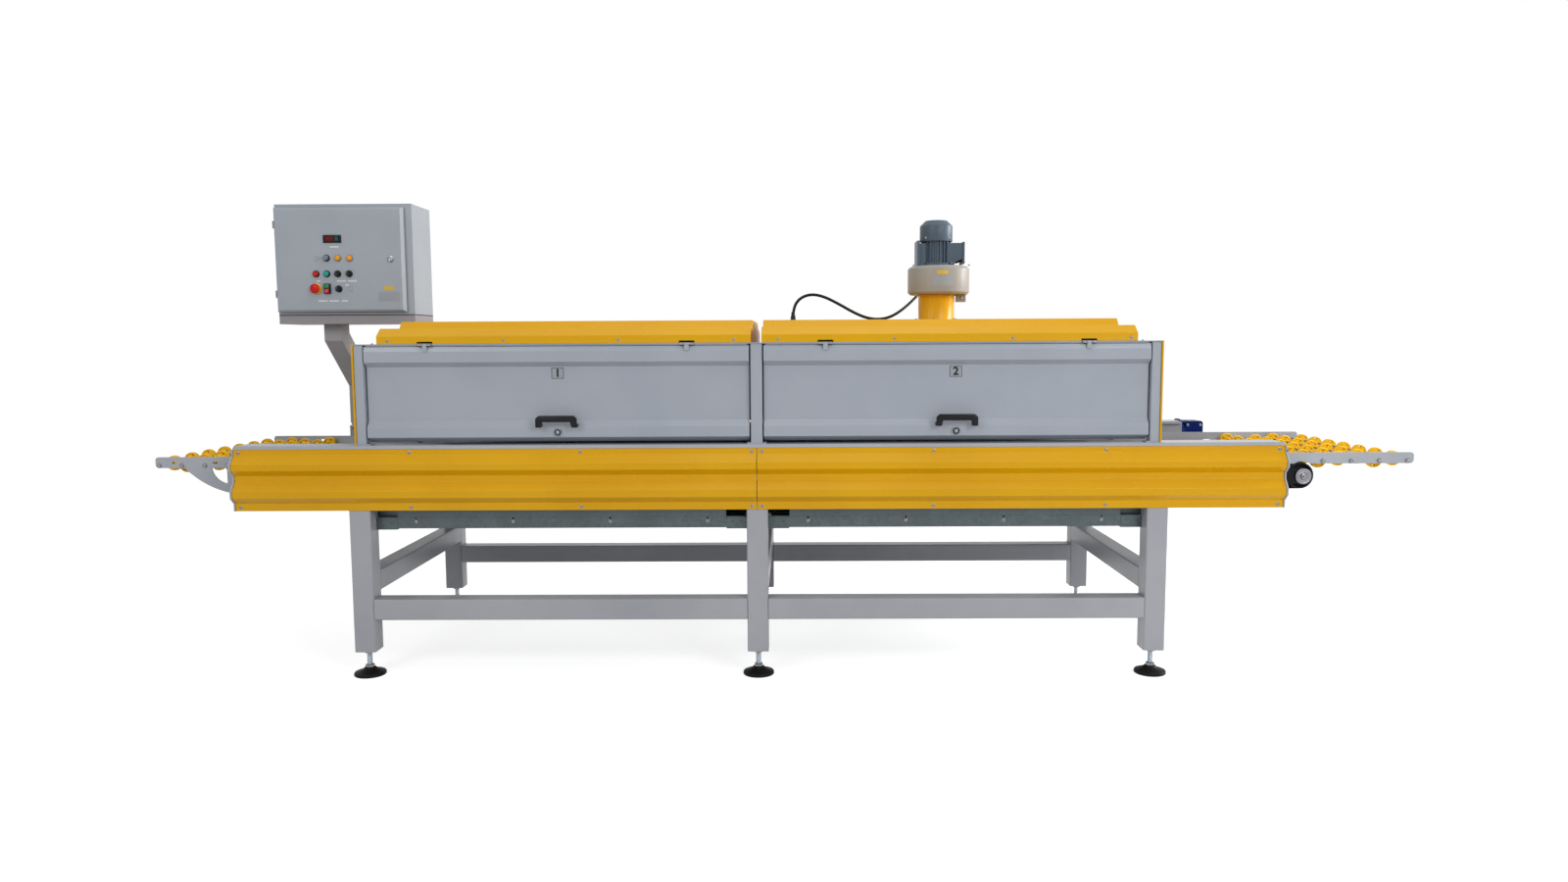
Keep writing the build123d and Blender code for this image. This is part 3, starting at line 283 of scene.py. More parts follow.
def moulded(name, colour, shade, roughness, texture=0.15, shine=0.5):
    """Injection-moulded plastic: even colour, soft gloss and the fine spark-eroded skin of its mould."""
    material, shader = new_finish(name)
    place = add_node(material, "ShaderNodeTexCoord").outputs["Object"]
    cloud = add_node(material, "ShaderNodeTexNoise", {"Vector": place, "Scale": cells(25), "Detail": 3.0})
    skin = add_node(material, "ShaderNodeTexNoise", {"Vector": place, "Scale": cells(1.5), "Detail": 2.0})
    tint = add_node(material, "ShaderNodeMix", {0: cloud.outputs["Fac"], 6: linear(colour), 7: linear(shade)},
                    data_type="RGBA")
    gloss = add_node(material, "ShaderNodeMapRange", {"Value": cloud.outputs["Fac"],
                                                      "To Min": roughness - 0.05, "To Max": roughness + 0.08})
    bump = add_node(material, "ShaderNodeBump", {"Height": skin.outputs["Fac"], "Strength": texture,
                                                 "Distance": 0.2 * MM})
    material.node_tree.links.new(tint.outputs[2], shader.inputs["Base Color"])
    material.node_tree.links.new(gloss.outputs[0], shader.inputs["Roughness"])
    material.node_tree.links.new(bump.outputs[0], shader.inputs["Normal"])
    shader.inputs["IOR"].default_value = 1.5
    shader.inputs["Specular IOR Level"].default_value = shine
    return material


# Moulded nylon: an almost black, half-glossy skin with the mould's fine grain.
black_nylon = moulded("moulded_black_nylon", "0C0D10", "131418", 0.34, shine=0.2)
roof_top = 1356
gland_base = turn(((12.7, 0), (12.7, 7), (11.5, 8)), sides=6)
gland_nut = turn(((10, 7), (10, 15), (9, 19), (8, 21), (7, 34), (6.3, 36), (6.3, 30), (6.1, 6)))
gland_spots = [(at(*cable_route[0][:2], roof_top), "up"), (at(*cable_route[-1]), "rear")]
fit(copies(join([gland_base, gland_nut]), gland_spots), "cable_glands", black_nylon, "machine",
    "black_plastic", "cable_gland")

# The steel frame: legs, stretchers and beams of 80 mm square tube, welded and sprayed light grey.
# Two-part enamel on steel has an even half gloss with a faint orange peel, and a few brownish specks
# where dust has settled in it.


def enamel(name, colour, shade, roughness, peel=0.12, spots=0.0, shine=0.4):
    """Sprayed or powder-coated paint: two close tones in soft clouds under a fine orange peel."""
    material, shader = new_finish(name)
    place = add_node(material, "ShaderNodeTexCoord").outputs["Object"]
    clouds = add_node(material, "ShaderNodeTexNoise", {"Vector": place, "Scale": cells(380), "Detail": 5.0,
                                                       "Roughness": 0.6})
    spread = add_node(material, "ShaderNodeMapRange", {"Value": clouds.outputs["Fac"], "From Min": 0.35,
                                                       "From Max": 0.7})
    tint = add_node(material, "ShaderNodeMix", {0: spread.outputs[0], 6: linear(colour), 7: linear(shade)},
                    data_type="RGBA").outputs[2]
    if spots:
        dust = add_node(material, "ShaderNodeTexNoise", {"Vector": place, "Scale": cells(11), "Detail": 6.0,
                                                         "Roughness": 0.75})
        rare = add_node(material, "ShaderNodeMapRange", {"Value": dust.outputs["Fac"], "From Min": 0.62,
                                                         "From Max": 0.78, "To Max": spots})
        tint = add_node(material, "ShaderNodeMix", {0: rare.outputs[0], 6: tint, 7: linear("5F594F")},
                        data_type="RGBA").outputs[2]
    waviness = add_node(material, "ShaderNodeTexNoise", {"Vector": place, "Scale": cells(200),
                                                         "Detail": 1.0})
    sheet = add_node(material, "ShaderNodeBump", {"Height": waviness.outputs["Fac"], "Strength": 0.03,
                                                  "Distance": 2.0 * MM})
    orange_peel = add_node(material, "ShaderNodeTexNoise", {"Vector": place, "Scale": cells(2.6),
                                                            "Detail": 2.0})
    bump = add_node(material, "ShaderNodeBump", {"Height": orange_peel.outputs["Fac"], "Strength": peel,
                                                 "Distance": 0.25 * MM, "Normal": sheet.outputs[0]})
    gloss = add_node(material, "ShaderNodeMapRange", {"Value": clouds.outputs["Fac"],
                                                      "To Min": roughness - 0.05, "To Max": roughness + 0.07})
    material.node_tree.links.new(tint, shader.inputs["Base Color"])
    material.node_tree.links.new(gloss.outputs[0], shader.inputs["Roughness"])
    material.node_tree.links.new(bump.outputs[0], shader.inputs["Normal"])
    shader.inputs["IOR"].default_value = 1.5
    shader.inputs["Specular IOR Level"].default_value = shine
    return material


def wear(material, *nodes, edge=1.0):
    """Gives CAD nodes their finish, and rounds their sharp edges as bending and deburring leave them."""
    for name in nodes:
        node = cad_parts[name]
        node.data.materials.clear()
        node.data.materials.append(material)
        weld = node.modifiers.new("joined_facets", "WELD")
        weld.merge_threshold = 0.02 * MM
        bevel = node.modifiers.new("eased_edges", "BEVEL")
        bevel.width = edge * MM
        bevel.segments = 2
        bevel.limit_method = "ANGLE"
        bevel.angle_limit = math.radians(20)
        bevel.harden_normals = True


frame_grey = enamel("light_grey_sprayed_enamel", "A7A9AF", "9B9EA5", 0.36, spots=0.2)
wear(frame_grey, "frame_legs", "frame_stretchers", "bed_beams", "bed_cross_beams", edge=3.0)
wear(frame_grey, "bed_lower_rails", edge=2.0)

# Levelling feet: black moulded rubber pads with a stepped rim and a low cone, under bright zinc studs
# with a nut on the pad and a lock nut against the leg's end plate.
leg_x, leg_y, nut_heights = (-1500, 0, 1500), 527, (30, 85)
# Moulded rubber: dull black with a faint grey bloom and a slightly uneven skin.
rubber, shader = new_finish("moulded_black_rubber")
place = add_node(rubber, "ShaderNodeTexCoord").outputs["Object"]
bloom = add_node(rubber, "ShaderNodeTexNoise", {"Vector": place, "Scale": cells(22), "Detail": 6.0})
tint = add_node(rubber, "ShaderNodeMix", {0: bloom.outputs["Fac"], 6: linear("0A0A0B"),
                                          7: linear("171718")}, data_type="RGBA")
bump = add_node(rubber, "ShaderNodeBump", {"Height": bloom.outputs["Fac"], "Strength": 0.3,
                                           "Distance": 0.5 * MM})
rubber.node_tree.links.new(tint.outputs[2], shader.inputs["Base Color"])
rubber.node_tree.links.new(bump.outputs[0], shader.inputs["Normal"])
shader.inputs["Roughness"].default_value = 0.5
shader.inputs["Specular IOR Level"].default_value = 0.12
pad = turn(((57, 0), (59, 2), (59, 9), (57, 12), (54, 13), (50, 14), (30, 22), (23, 27), (21, 30),
            (12, 30.5)))
pad_spots = [(at(x, side * leg_y, 0), "up") for x in leg_x for side in (-1, 1)]
fit(copies(pad, pad_spots), "rubber_foot_pads", rubber, "machine", "black_rubber", "foot_pads")


def bands(pitch):
    """The scale at which a wave pattern repeats every so many millimetres."""
    return math.pi / 10 / (pitch * MM)


def bare_metal(name, colour, shade, roughness, mark=20, thread=0.0):
    """Bare or plated metal: bright, softly tarnished, with a thread's ridges if it is a screw."""
    material, shader = new_finish(name)
    place = add_node(material, "ShaderNodeTexCoord").outputs["Object"]
    tarnish = add_node(material, "ShaderNodeTexNoise", {"Vector": place, "Scale": cells(mark), "Detail": 5.0})
    tint = add_node(material, "ShaderNodeMix", {0: tarnish.outputs["Fac"], 6: linear(colour),
                                                7: linear(shade)}, data_type="RGBA")
    gloss = add_node(material, "ShaderNodeMapRange", {"Value": tarnish.outputs["Fac"],
                                                      "To Min": roughness - 0.1, "To Max": roughness + 0.12})
    height = tarnish.outputs["Fac"]
    if thread:
        rings = add_node(material, "ShaderNodeTexWave", {"Vector": place, "Scale": bands(thread)},
                         bands_direction="Z")
        height = rings.outputs["Fac"]
    bump = add_node(material, "ShaderNodeBump", {"Height": height, "Strength": 0.6 if thread else 0.08,
                                                 "Distance": 0.8 * MM})
    material.node_tree.links.new(tint.outputs[2], shader.inputs["Base Color"])
    material.node_tree.links.new(gloss.outputs[0], shader.inputs["Roughness"])
    material.node_tree.links.new(bump.outputs[0], shader.inputs["Normal"])
    shader.inputs["Metallic"].default_value = 1.0
    return material


# Zinc-plated steel: bluish white and bright, and the M20 studs' thread of 2.5 mm shows as fine rings.
zinc = bare_metal("bright_zinc_plate", "97989A", "626365", 0.32, mark=5)
threaded_zinc = bare_metal("threaded_zinc_plate", "B4BDC6", "7F8890", 0.3, mark=8, thread=2.5)
stud = turn(((8, 29), (9.8, 31), (9.8, 97), (8, 97)), sides=32)
fit(copies(stud, pad_spots), "threaded_foot_studs", threaded_zinc, "machine", "zinc", "foot_studs")
nut = turn(((14.5, 0), (17.2, 1.5), (17.2, 10.5), (14.5, 12)), sides=6)
nut_spots = [(point + Vector((0, 0, low * MM)), facing) for point, facing in pad_spots for low in nut_heights]
fit(copies(nut, nut_spots), "foot_nuts", zinc, "machine", "zinc")

# Skirts: two corrugated steel sheets along each side of the bed, powder coated orange-yellow, closed
# at the corners by grey plates cut to the same wave. Flanged screws hold their top and lower edges.
skirt_face, skirt_screw_x, skirt_screw_z = 569, (20, 660, 1302, 1945), (657, 864)
plate_face, plate_bolt_y, plate_bolt_z = 1971, 574, (690, 858)


def flanged_screw(head, flange, height=4.0):
    """A small hexagon screw with a flange under its head, standing on the plane it is screwed to."""
    washer = turn(((flange / 2, -0.5), (flange / 2, 0.8), (flange / 2 - 1.0, 1.4)), sides=20)
    hexagon = turn(((head / 2, 0.5), (head / 2, height - 0.8), (head / 2 - 1.0, height)), sides=6)
    return join([washer, hexagon])


# Powder coat: an even, warm yellow with a soft gloss. The bars and plates beside it are satin enamel.
orange_yellow = enamel("orange_yellow_powder_coat", "DCA605", "D69F03", 0.26, shine=0.22)
pale_grey = enamel("pale_grey_satin_enamel", "ABAFB6", "A1A5AE", 0.4, spots=0.1)
wear(orange_yellow, "front_skirt", "rear_skirt", edge=4.0)
wear(pale_grey, "skirt_end_plates", edge=0.8)
wear(pale_grey, "bed_top_trims", edge=2.0)
screw_spots = [
    (at(end * x, side * skirt_face, z), facing)
    for side, facing in ((-1, "front"), (1, "rear"))
    for end in (-1, 1)
    for x in skirt_screw_x
    for z in skirt_screw_z
]
screw_spots += [
    (at(end * plate_face, side * plate_bolt_y, z), facing)
    for end, facing in ((-1, "left"), (1, "right"))
    for side in (-1, 1)
    for z in plate_bolt_z
]
fit(copies(flanged_screw(8, 13, 4.5), screw_spots), "skirt_screws", zinc, "machine", "zinc")

# The hood: folded sheet posts, panels behind and a flat deck in blue-grey powder coat, with
# orange-yellow end walls and folded roof covers. Small screws hold the covers down to the deck.
# The same powder coat in cool grey: smoother than the frame, so each panel takes a soft, even sheen.
hood_grey = enamel("blue_grey_powder_coat", "A4AAB4", "9CA3AD", 0.22, shine=0.35)
wear(hood_grey, "oven_posts", edge=1.5)
wear(hood_grey, "rear_panels", edge=2.0)
wear(hood_grey, "oven_deck", edge=0.8)
wear(orange_yellow, "end_wall_left", "end_wall_right", edge=0.8)
wear(orange_yellow, "roof_cover_left", "roof_cover_right", edge=3.0)
cover_screw_x, cover_face, cover_screw_z = (-1369, -937, -510, -82, 82, 512, 949, 1385), 567, 1280
deck_screw_x, deck_screw_y, deck_top = (-1433, 1433), 548, 1268
post_screw_x, post_screw_y, post_foot_top = (-30, 30, -1458, 1458), 542, 895
hood_spots = [(at(x, side * cover_face, cover_screw_z), facing)
              for side, facing in ((-1, "front"), (1, "rear")) for x in cover_screw_x]
hood_spots += [(at(x, side * deck_screw_y, deck_top), "up") for x in deck_screw_x for side in (-1, 1)]
hood_spots += [(at(x, side * post_screw_y, post_foot_top), "up") for x in post_screw_x for side in (-1, 1)]
fit(copies(flanged_screw(7, 11), hood_spots), "hood_screws", zinc, "machine", "zinc")

# Folded lips: the deck's sheet is bent down behind the doors' and panels' top edges, and a narrow
# strip closes the slot over them, so that no light shows there.


def cut_out(outline, thick, rounding=0.0):
    """A flat piece with a given outline, (across, up) in millimetres, drawn on a circle's points.

    It is extruded towards Z, and its edges are then rounded.
    """
    bpy.ops.object.select_all(action="DESELECT")
    bpy.ops.mesh.primitive_circle_add(vertices=len(outline), radius=1, fill_type="NGON", location=(0, 0, 0))
    piece = bpy.context.object
    for vertex, (across, up) in zip(piece.data.vertices, outline):
        vertex.co = (across * MM, up * MM, 0)
    bpy.ops.object.mode_set(mode="EDIT")
    bpy.ops.mesh.select_all(action="SELECT")
    bpy.ops.mesh.extrude_region_move(TRANSFORM_OT_translate={"value": (0, 0, thick * MM)})
    bpy.ops.mesh.select_all(action="SELECT")
    bpy.ops.mesh.normals_make_consistent(inside=False)
    bpy.ops.object.mode_set(mode="OBJECT")
    if rounding:
        round_off(piece, rounding)
    return piece


def round_off(piece, rounding):
    """Rounds a piece's sharp edges with an applied bevel."""
    only(piece)
    bevel = piece.modifiers.new("round", "BEVEL")
    bevel.width = rounding * MM
    bevel.segments = 3
    bevel.limit_method = "ANGLE"
    bevel.angle_limit = math.radians(30)
    bpy.ops.object.modifier_apply(modifier="round")


def put(piece, point, facing):
    """Sets a piece down at a point, turned to face one way."""
    piece.location = point
    piece.rotation_euler = FACING[facing]
    return piece


def oblong(wide, high, x=0.0, y=0.0):
    """The outline of a rectangle about a middle."""
    return ((x - wide / 2, y - high / 2), (x + wide / 2, y - high / 2), (x + wide / 2, y + high / 2),
            (x - wide / 2, y + high / 2))


bay_middle = 743.5
lip_size, lip_thick, lip_y, lip_z = (1429, 22), 1.5, 510, 1253
strip_size, strip_thick, strip_y, strip_z = (1420, 4.4), 6, 556, 1262
long_edges = [(bay, side, facing) for bay in (-1, 1) for side, facing in ((-1, "front"), (1, "rear"))]
lips = [
    put(cut_out(oblong(*lip_size), lip_thick, rounding=0.4), at(bay * bay_middle, side * lip_y, lip_z), facing)
    for bay, side, facing in long_edges
]
lips += [
    put(cut_out(oblong(*strip_size), strip_thick), at(bay * bay_middle, side * strip_y, strip_z), facing)
    for bay, side, facing in long_edges
]
fit(join(lips), "deck_lips", hood_grey, "machine", "hood_grey")

# Flap doors: pressed steel panels in the hood's grey, hung on knuckle hinges along their top edge.
# Each has a moulded nylon bridge handle with a chromed quarter-turn lock under it.
handle_outline = ((-77, 0), (-57, 0), (-52, 20), (52, 20), (57, 0), (77, 0), (77, 33), (66, 44), (-66, 44),
                  (-77, 33))
handle_thick, handle_y, handle_z = 12.6, -582.4, 957
foot_size, foot_long, foot_gap, foot_y, foot_z = (18, 12), 38, 68, -551, 963
lock_y, lock_z = -563, 937
number_plate, plate_thick, number_face, number_z = (47, 41), 0.5, -542, 1157
border_wide, border_high, border_line, border_up, border_out = 45, 38, 1.6, 19.2, 21.7
numeral_size, numeral_weight, print_thick = 42, 1.3, 0.3
wear(hood_grey, "flap_door_left", "flap_door_right", edge=3.0)
wear(zinc, "flap_hinges", edge=0.4)

# Chromed die-cast zinc: a mirror finish, only a little clouded by handling.
chrome = bare_metal("chromed_zinc_casting", "9FA4A9", "74797E", 0.2, mark=12)
# Printed vinyl: a flat satin film, hardly paler than the door, and plain black print on it.
vinyl = moulded("pale_satin_vinyl", "9CA1A8", "949AA2", 0.4, texture=0.05, shine=0.25)
black_print = moulded("black_screen_print", "0E0F11", "151619", 0.5, texture=0.05, shine=0.2)
for side, digit in ((-1, "1"), (1, "2")):
    door = "flap_door_left" if side < 0 else "flap_door_right"
    x = side * bay_middle
    bridge = put(cut_out(handle_outline, handle_thick, rounding=3.0), at(x, handle_y, handle_z), "front")
    feet = []
    for end in (-1, 1):
        foot = cut_out(oblong(*foot_size), foot_long, rounding=1.5)
        feet.append(put(foot, at(x + end * foot_gap, foot_y, foot_z), "front"))
    fit(join([bridge, *feet]), f"handle_{digit}", black_nylon, door, "black_plastic",
        "flap_fittings_left" if side < 0 else "flap_fittings_right")
    rim = turn(((11.5, -1), (14.5, -1), (14.5, 1.5), (13.5, 2.5), (12.2, 2.5), (11.5, 1.8)), hollow=True)
    core = turn(((6.4, -1), (6.4, 3.6), (5.4, 4.2), (2, 4.2)), sides=24)
    tongue = cut_out(oblong(3.4, 15), 4.6, rounding=0.8)
    fit(put(join([rim, core, tongue]), at(x, lock_y, lock_z), "front"), f"door_lock_{digit}", chrome, door,
        "zinc")
    well = turn(((11.6, -1), (11.6, 0.6), (3, 0.6)), sides=36)
    fit(put(well, at(x, lock_y, lock_z), "front"), f"door_lock_well_{digit}", black_print, door,
        "black_plastic")
    back = cut_out(oblong(*number_plate), plate_thick)
    fit(put(back, at(x, number_face, number_z), "front"), f"number_plate_{digit}", vinyl, door, "trim_grey")
    lines = [cut_out(oblong(border_wide, border_line, y=end * border_up), print_thick) for end in (-1, 1)]
    lines += [cut_out(oblong(border_line, border_high, x=end * border_out), print_thick) for end in (-1, 1)]
    bpy.ops.object.select_all(action="DESELECT")
    bpy.ops.object.text_add(location=(0, 0, 0))
    text = bpy.context.object
    text.data.body = digit
    text.data.size = numeral_size * MM
    text.data.align_x, text.data.align_y = "CENTER", "CENTER"
    text.data.offset = numeral_weight * MM
    text.data.extrude = print_thick / 2 * MM
    bpy.ops.object.convert(target="MESH")
    numeral = join([*lines, bpy.context.object])
    fit(put(numeral, at(x, number_face - plate_thick, number_z), "front"), f"door_numeral_{digit}",
        black_print, door, "black_plastic")

# Trays under the bed: folded hot-dip galvanised sheet with slots for adjusting and sleeves at the ends,
# upstands along their sides and backing plates behind the outer slots. Screws and rivets hold them.
# The zinc sets in crystals, a dull blue-grey patchwork of spangle about 12 mm across.
galvanised, shader = new_finish("hot_dip_galvanised_sheet")
place = add_node(galvanised, "ShaderNodeTexCoord").outputs["Object"]
spangle = add_node(galvanised, "ShaderNodeTexVoronoi", {"Vector": place, "Scale": cells(12)})
crystal = add_node(galvanised, "ShaderNodeSeparateColor", {"Color": spangle.outputs["Color"]})
haze = add_node(galvanised, "ShaderNodeTexNoise", {"Vector": place, "Scale": cells(120), "Detail": 4.0})
tint = add_node(galvanised, "ShaderNodeMix", {0: crystal.outputs[0], 6: linear("4C5557"),
                                              7: linear("606A6C")}, data_type="RGBA")
dulled = add_node(galvanised, "ShaderNodeMix", {0: haze.outputs["Fac"], 6: tint.outputs[2],
                                                7: linear("474F51")}, data_type="RGBA")
gloss = add_node(galvanised, "ShaderNodeMapRange", {"Value": crystal.outputs[0], "To Min": 0.36,
                                                    "To Max": 0.52})
galvanised.node_tree.links.new(dulled.outputs[2], shader.inputs["Base Color"])
galvanised.node_tree.links.new(gloss.outputs[0], shader.inputs["Roughness"])
shader.inputs["Metallic"].default_value = 0.75
wear(galvanised, "bottom_trays", edge=0.5)
upstand_size, upstand_x, upstand_y, upstand_z = (1258, 50), 750, 505, 632
backing_size, backing_x, backing_y, backing_z = (110, 54), 1426, 480, 628
upstands = []
for bay, side, facing in long_edges:
    upstand = cut_out(oblong(*upstand_size), 1.5, rounding=0.4)
    upstands.append(put(upstand, at(bay * upstand_x, side * upstand_y, upstand_z), facing))
for end, side, facing in long_edges:
    backing = cut_out(oblong(*backing_size), 1.5)
    upstands.append(put(backing, at(end * backing_x, side * backing_y, backing_z), facing))
fit(join(upstands), "tray_upstands", galvanised, "machine", "galvanised")
tray_screw_x, tray_screw_y, tray_screw_z = (192, 564, 936, 1308), 507, 591
tray_spots = [
    (at(end * x, side * tray_screw_y, tray_screw_z), facing)
    for side, facing in ((-1, "front"), (1, "rear"))
    for end in (-1, 1)
    for x in tray_screw_x
]
fit(copies(flanged_screw(8, 13, 3.5), tray_spots), "tray_screws", zinc, "machine", "zinc")
rivet = turn(((3.6, -0.5), (3.6, 0.5), (2.6, 1.6), (1.0, 2.0)), sides=12)
rivet_x, rivet_y, rivet_z = (62, 98, 1402, 1438), 509, 588
rivet_spots = [
    (at(end * x, side * rivet_y, rivet_z), facing)
    for side, facing in ((-1, "front"), (1, "rear"))
    for end in (-1, 1)
    for x in rivet_x
]
fit(copies(rivet, rivet_spots), "tray_rivets", galvanised, "machine", "galvanised")

# The belt: open glass-fibre mesh coated dark teal, one loop with a sewn film edge. Its threads are
# 4 mm apart, drawn here 8 mm apart so that they show; the edge's lacing is a row of pale stitches.
thread_pitch, edge_film, belt_half = 8, 14, 440
mesh, shader = new_finish("coated_glass_fibre_mesh")
place = add_node(mesh, "ShaderNodeTexCoord").outputs["Object"]
threads = {"Vector": place, "Scale": bands(thread_pitch)}
warp = add_node(mesh, "ShaderNodeTexWave", threads, bands_direction="X")
weft = add_node(mesh, "ShaderNodeTexWave", threads, bands_direction="Y")
weave = add_node(mesh, "ShaderNodeMath", {0: warp.outputs["Fac"], 1: weft.outputs["Fac"]},
                 operation="MAXIMUM")
cloth = add_node(mesh, "ShaderNodeMix", {0: weave.outputs[0], 6: linear("08181D"), 7: linear("174049")},
                 data_type="RGBA")
across = add_node(mesh, "ShaderNodeSeparateXYZ", {"Vector": place})
shifted = add_node(mesh, "ShaderNodeMath", {0: across.outputs["Y"], 1: middle.y}, operation="SUBTRACT")
outward = add_node(mesh, "ShaderNodeMath", {0: shifted.outputs[0]}, operation="ABSOLUTE")
border = add_node(mesh, "ShaderNodeMath", {0: outward.outputs[0], 1: (belt_half - edge_film) * MM},
                  operation="GREATER_THAN")
stitch = add_node(mesh, "ShaderNodeMath", {0: warp.outputs["Fac"], 1: 0.7}, operation="GREATER_THAN")
lacing = add_node(mesh, "ShaderNodeMix", {0: stitch.outputs[0], 6: linear("17252B"), 7: linear("66727A")},
                  data_type="RGBA")
tint = add_node(mesh, "ShaderNodeMix", {0: border.outputs[0], 6: cloth.outputs[2], 7: lacing.outputs[2]},
                data_type="RGBA")
bump = add_node(mesh, "ShaderNodeBump", {"Height": weave.outputs[0], "Strength": 0.7, "Distance": 0.8 * MM})
mesh.node_tree.links.new(tint.outputs[2], shader.inputs["Base Color"])
mesh.node_tree.links.new(bump.outputs[0], shader.inputs["Normal"])
shader.inputs["Roughness"].default_value = 0.5
shader.inputs["Specular IOR Level"].default_value = 0.25
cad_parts["mesh_belt"].data.materials.clear()
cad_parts["mesh_belt"].data.materials.append(mesh)

# Drums: steel tube lagged with a dark rubber coat that grips the belt. Their bearings sit in black arms bolted
# to the side plates, each under a grey hub cap, with a bolt in the shaft's end. Rubber lagging is matt and
# greenish black; the arms' black is soft-gloss enamel and also painted shade for the dark inside at the drum
# ends.
lagging = moulded("dark_rubber_lagging", "12191B", "1C2527", 0.55, texture=0.3, shine=0.2)
wear(lagging, "drive_drum", "tail_drum", edge=0.8)
# Partly painted shade: the arms are black so that they read as the dark inside at the drum ends.
black_enamel_and_shade = enamel("black_satin_enamel_and_shade", "0B0C0E", "111214", 0.34, shine=0.15)
wear(black_enamel_and_shade, "drum_bearings", edge=1.5)
cap_rings = ((13.2, -7.4), (29.6, -7.4), (30.2, -0.6), (29.2, 0.6), (26, 0.8), (25, 0.2), (16, 0.2),
             (15, 0.8), (13.4, 0.8))
cap_y, shaft_end_y, drum_z = 483, -486, 750
drum_x = {"drive_drum": 2079, "tail_drum": -1900}
cap_spots = [(at(x, side * cap_y, drum_z), "front" if side < 0 else "rear")
             for x in drum_x.values() for side in (-1, 1)]
# Satin zinc: greyer and softer than the screws' plate, as it is turned and handled.
satin_cap = bare_metal("satin_zinc_cap", "8E8C93", "74727A", 0.4, mark=14)
fit(copies(turn(cap_rings, hollow=True), cap_spots), "bearing_caps", satin_cap, "machine", "zinc")
for body, x in drum_x.items():
    end_bolt = put(flanged_screw(15, 23, 6.0), at(x, shaft_end_y, drum_z), "front")
    fit(end_bolt, f"{body}_end_bolt", zinc, body, "zinc")

# The drive: a worm gearbox and a finned motor, cast and sprayed deep blue, on an angle bracket in
# the same blue. The gear case's two sides are each held by four zinc-plated bolts.
# Deep blue enamel: a full coat over castings, dark and smooth, with small bright reflections.
blue = enamel("deep_blue_enamel", "082062", "061A54", 0.24, shine=0.12)
wear(blue, "gearbox", edge=2.0)
wear(blue, "drive_motor", edge=0.8)
wear(blue, "drive_bracket", edge=1.0)
case_near, case_far, case_pitch = 618, 708, 38
case_bolts = ((-0.8, 0.95), (0.8, 0.95), (-0.8, 2.9), (0.8, 2.9))
case_spots = [
    (at(drum_x["drive_drum"] + across * case_pitch, y, drum_z + up * case_pitch), facing)
    for y, facing in ((case_near, "front"), (case_far, "rear"))
    for across, up in case_bolts
]
fit(copies(flanged_screw(9, 13, 4.5), case_spots), "gear_case_bolts", zinc, "machine", "zinc")

# Wheel tables: plain side plates sprayed the frame's pale grey, with round axles between them. Each
# axle is held by a washer and a dome-headed bolt low down on the plates.
wear(pale_grey, "infeed_rails", "outfeed_rails", edge=1.2)
wear(zinc, "wheel_axles", edge=0.3)
infeed_first, infeed_pitch, outfeed_first, outfeed_pitch = -2043, 88, 2157, 107
infeed_axles = [infeed_first - infeed_pitch * index for index in range(4)]
outfeed_axles = [outfeed_first + outfeed_pitch * index for index in range(4)]
table_side, axle_z = 467, 806
axle_spots = [(at(x, side * table_side, axle_z), "front" if side < 0 else "rear")
              for x in (*infeed_axles, *outfeed_axles) for side in (-1, 1)]
dome_washer = turn(((9.5, -0.5), (9.5, 1.2), (8.8, 1.8)), sides=24)
dome = turn(((6.5, 1.0), (6.5, 3.0), (5.6, 5.0), (3.6, 6.4), (1.2, 6.9)), sides=20)
fit(copies(join([dome_washer, dome]), axle_spots), "axle_bolts", zinc, "machine", "zinc")

# Skate wheels: nylon wheels moulded in yellow, a broad crowned rim on four wide spokes round a hub,
# with four small windows between them. Each row of eight or seven turns on its own axle, and no two
# neighbours have their spokes turned alike.
# Yellow nylon: a bright, even colour that is half matt where goods have run over it.
wheel_yellow = moulded("moulded_yellow_nylon", "FCC81C", "F2BC14", 0.4, texture=0.08, shine=0.15)
rim_rings = ((27.6, -11), (29.2, -8), (30, -2.5), (30, 2.5), (29.2, 8), (27.6, 11), (25.0, 11),
             (22.6, 8), (22.6, -8), (25.0, -11))
hub_rings = ((5.2, -11), (11.5, -11), (12.5, -8), (12.5, 8), (11.5, 11), (5.2, 11))
spoke_size, spoke_thick, spoke_middle, spokes_per_wheel = (14, 20), 14, 17, 4
wheel_gap, wheel_skew, wheel_patterns = 854 / 7, 19, 3


def skate_wheel(turned_by):
    """One spoked wheel about Z, its spokes turned by some degrees."""
    parts = [turn(rim_rings, sides=36, hollow=True), turn(hub_rings, sides=18, hollow=True)]
    for index in range(spokes_per_wheel):
        spoke = cut_out(oblong(*spoke_size, x=spoke_middle), spoke_thick)
        spoke.location = (0, 0, -spoke_thick / 2 * MM)
        spoke.rotation_euler = (0, 0, math.radians(turned_by + 360 / spokes_per_wheel * index))
        only(spoke)
        bpy.ops.object.transform_apply(location=True, rotation=True, scale=True)
        parts.append(spoke)
    return join(parts)


patterns = [skate_wheel(wheel_skew * index) for index in range(wheel_patterns)]
for table, axles in (("infeed", infeed_axles), ("outfeed", outfeed_axles)):
    for row, x in enumerate(axles):
        count = 7 if row % 2 else 8
        wheels = []
        for index in range(count):
            wheel = patterns[(row + index) % len(patterns)].copy()
            wheel.data = wheel.data.copy()
            bpy.context.collection.objects.link(wheel)
            wheels.append(put(wheel, at(x, (index - (count - 1) / 2) * wheel_gap, axle_z), "front"))
        name = f"{table}_wheels_{row + 1}"
        fit(join(wheels), f"{table}_skate_wheels_{row + 1}", wheel_yellow, name, "wheel_yellow", name)
for pattern in patterns:
    bpy.data.objects.remove(pattern)

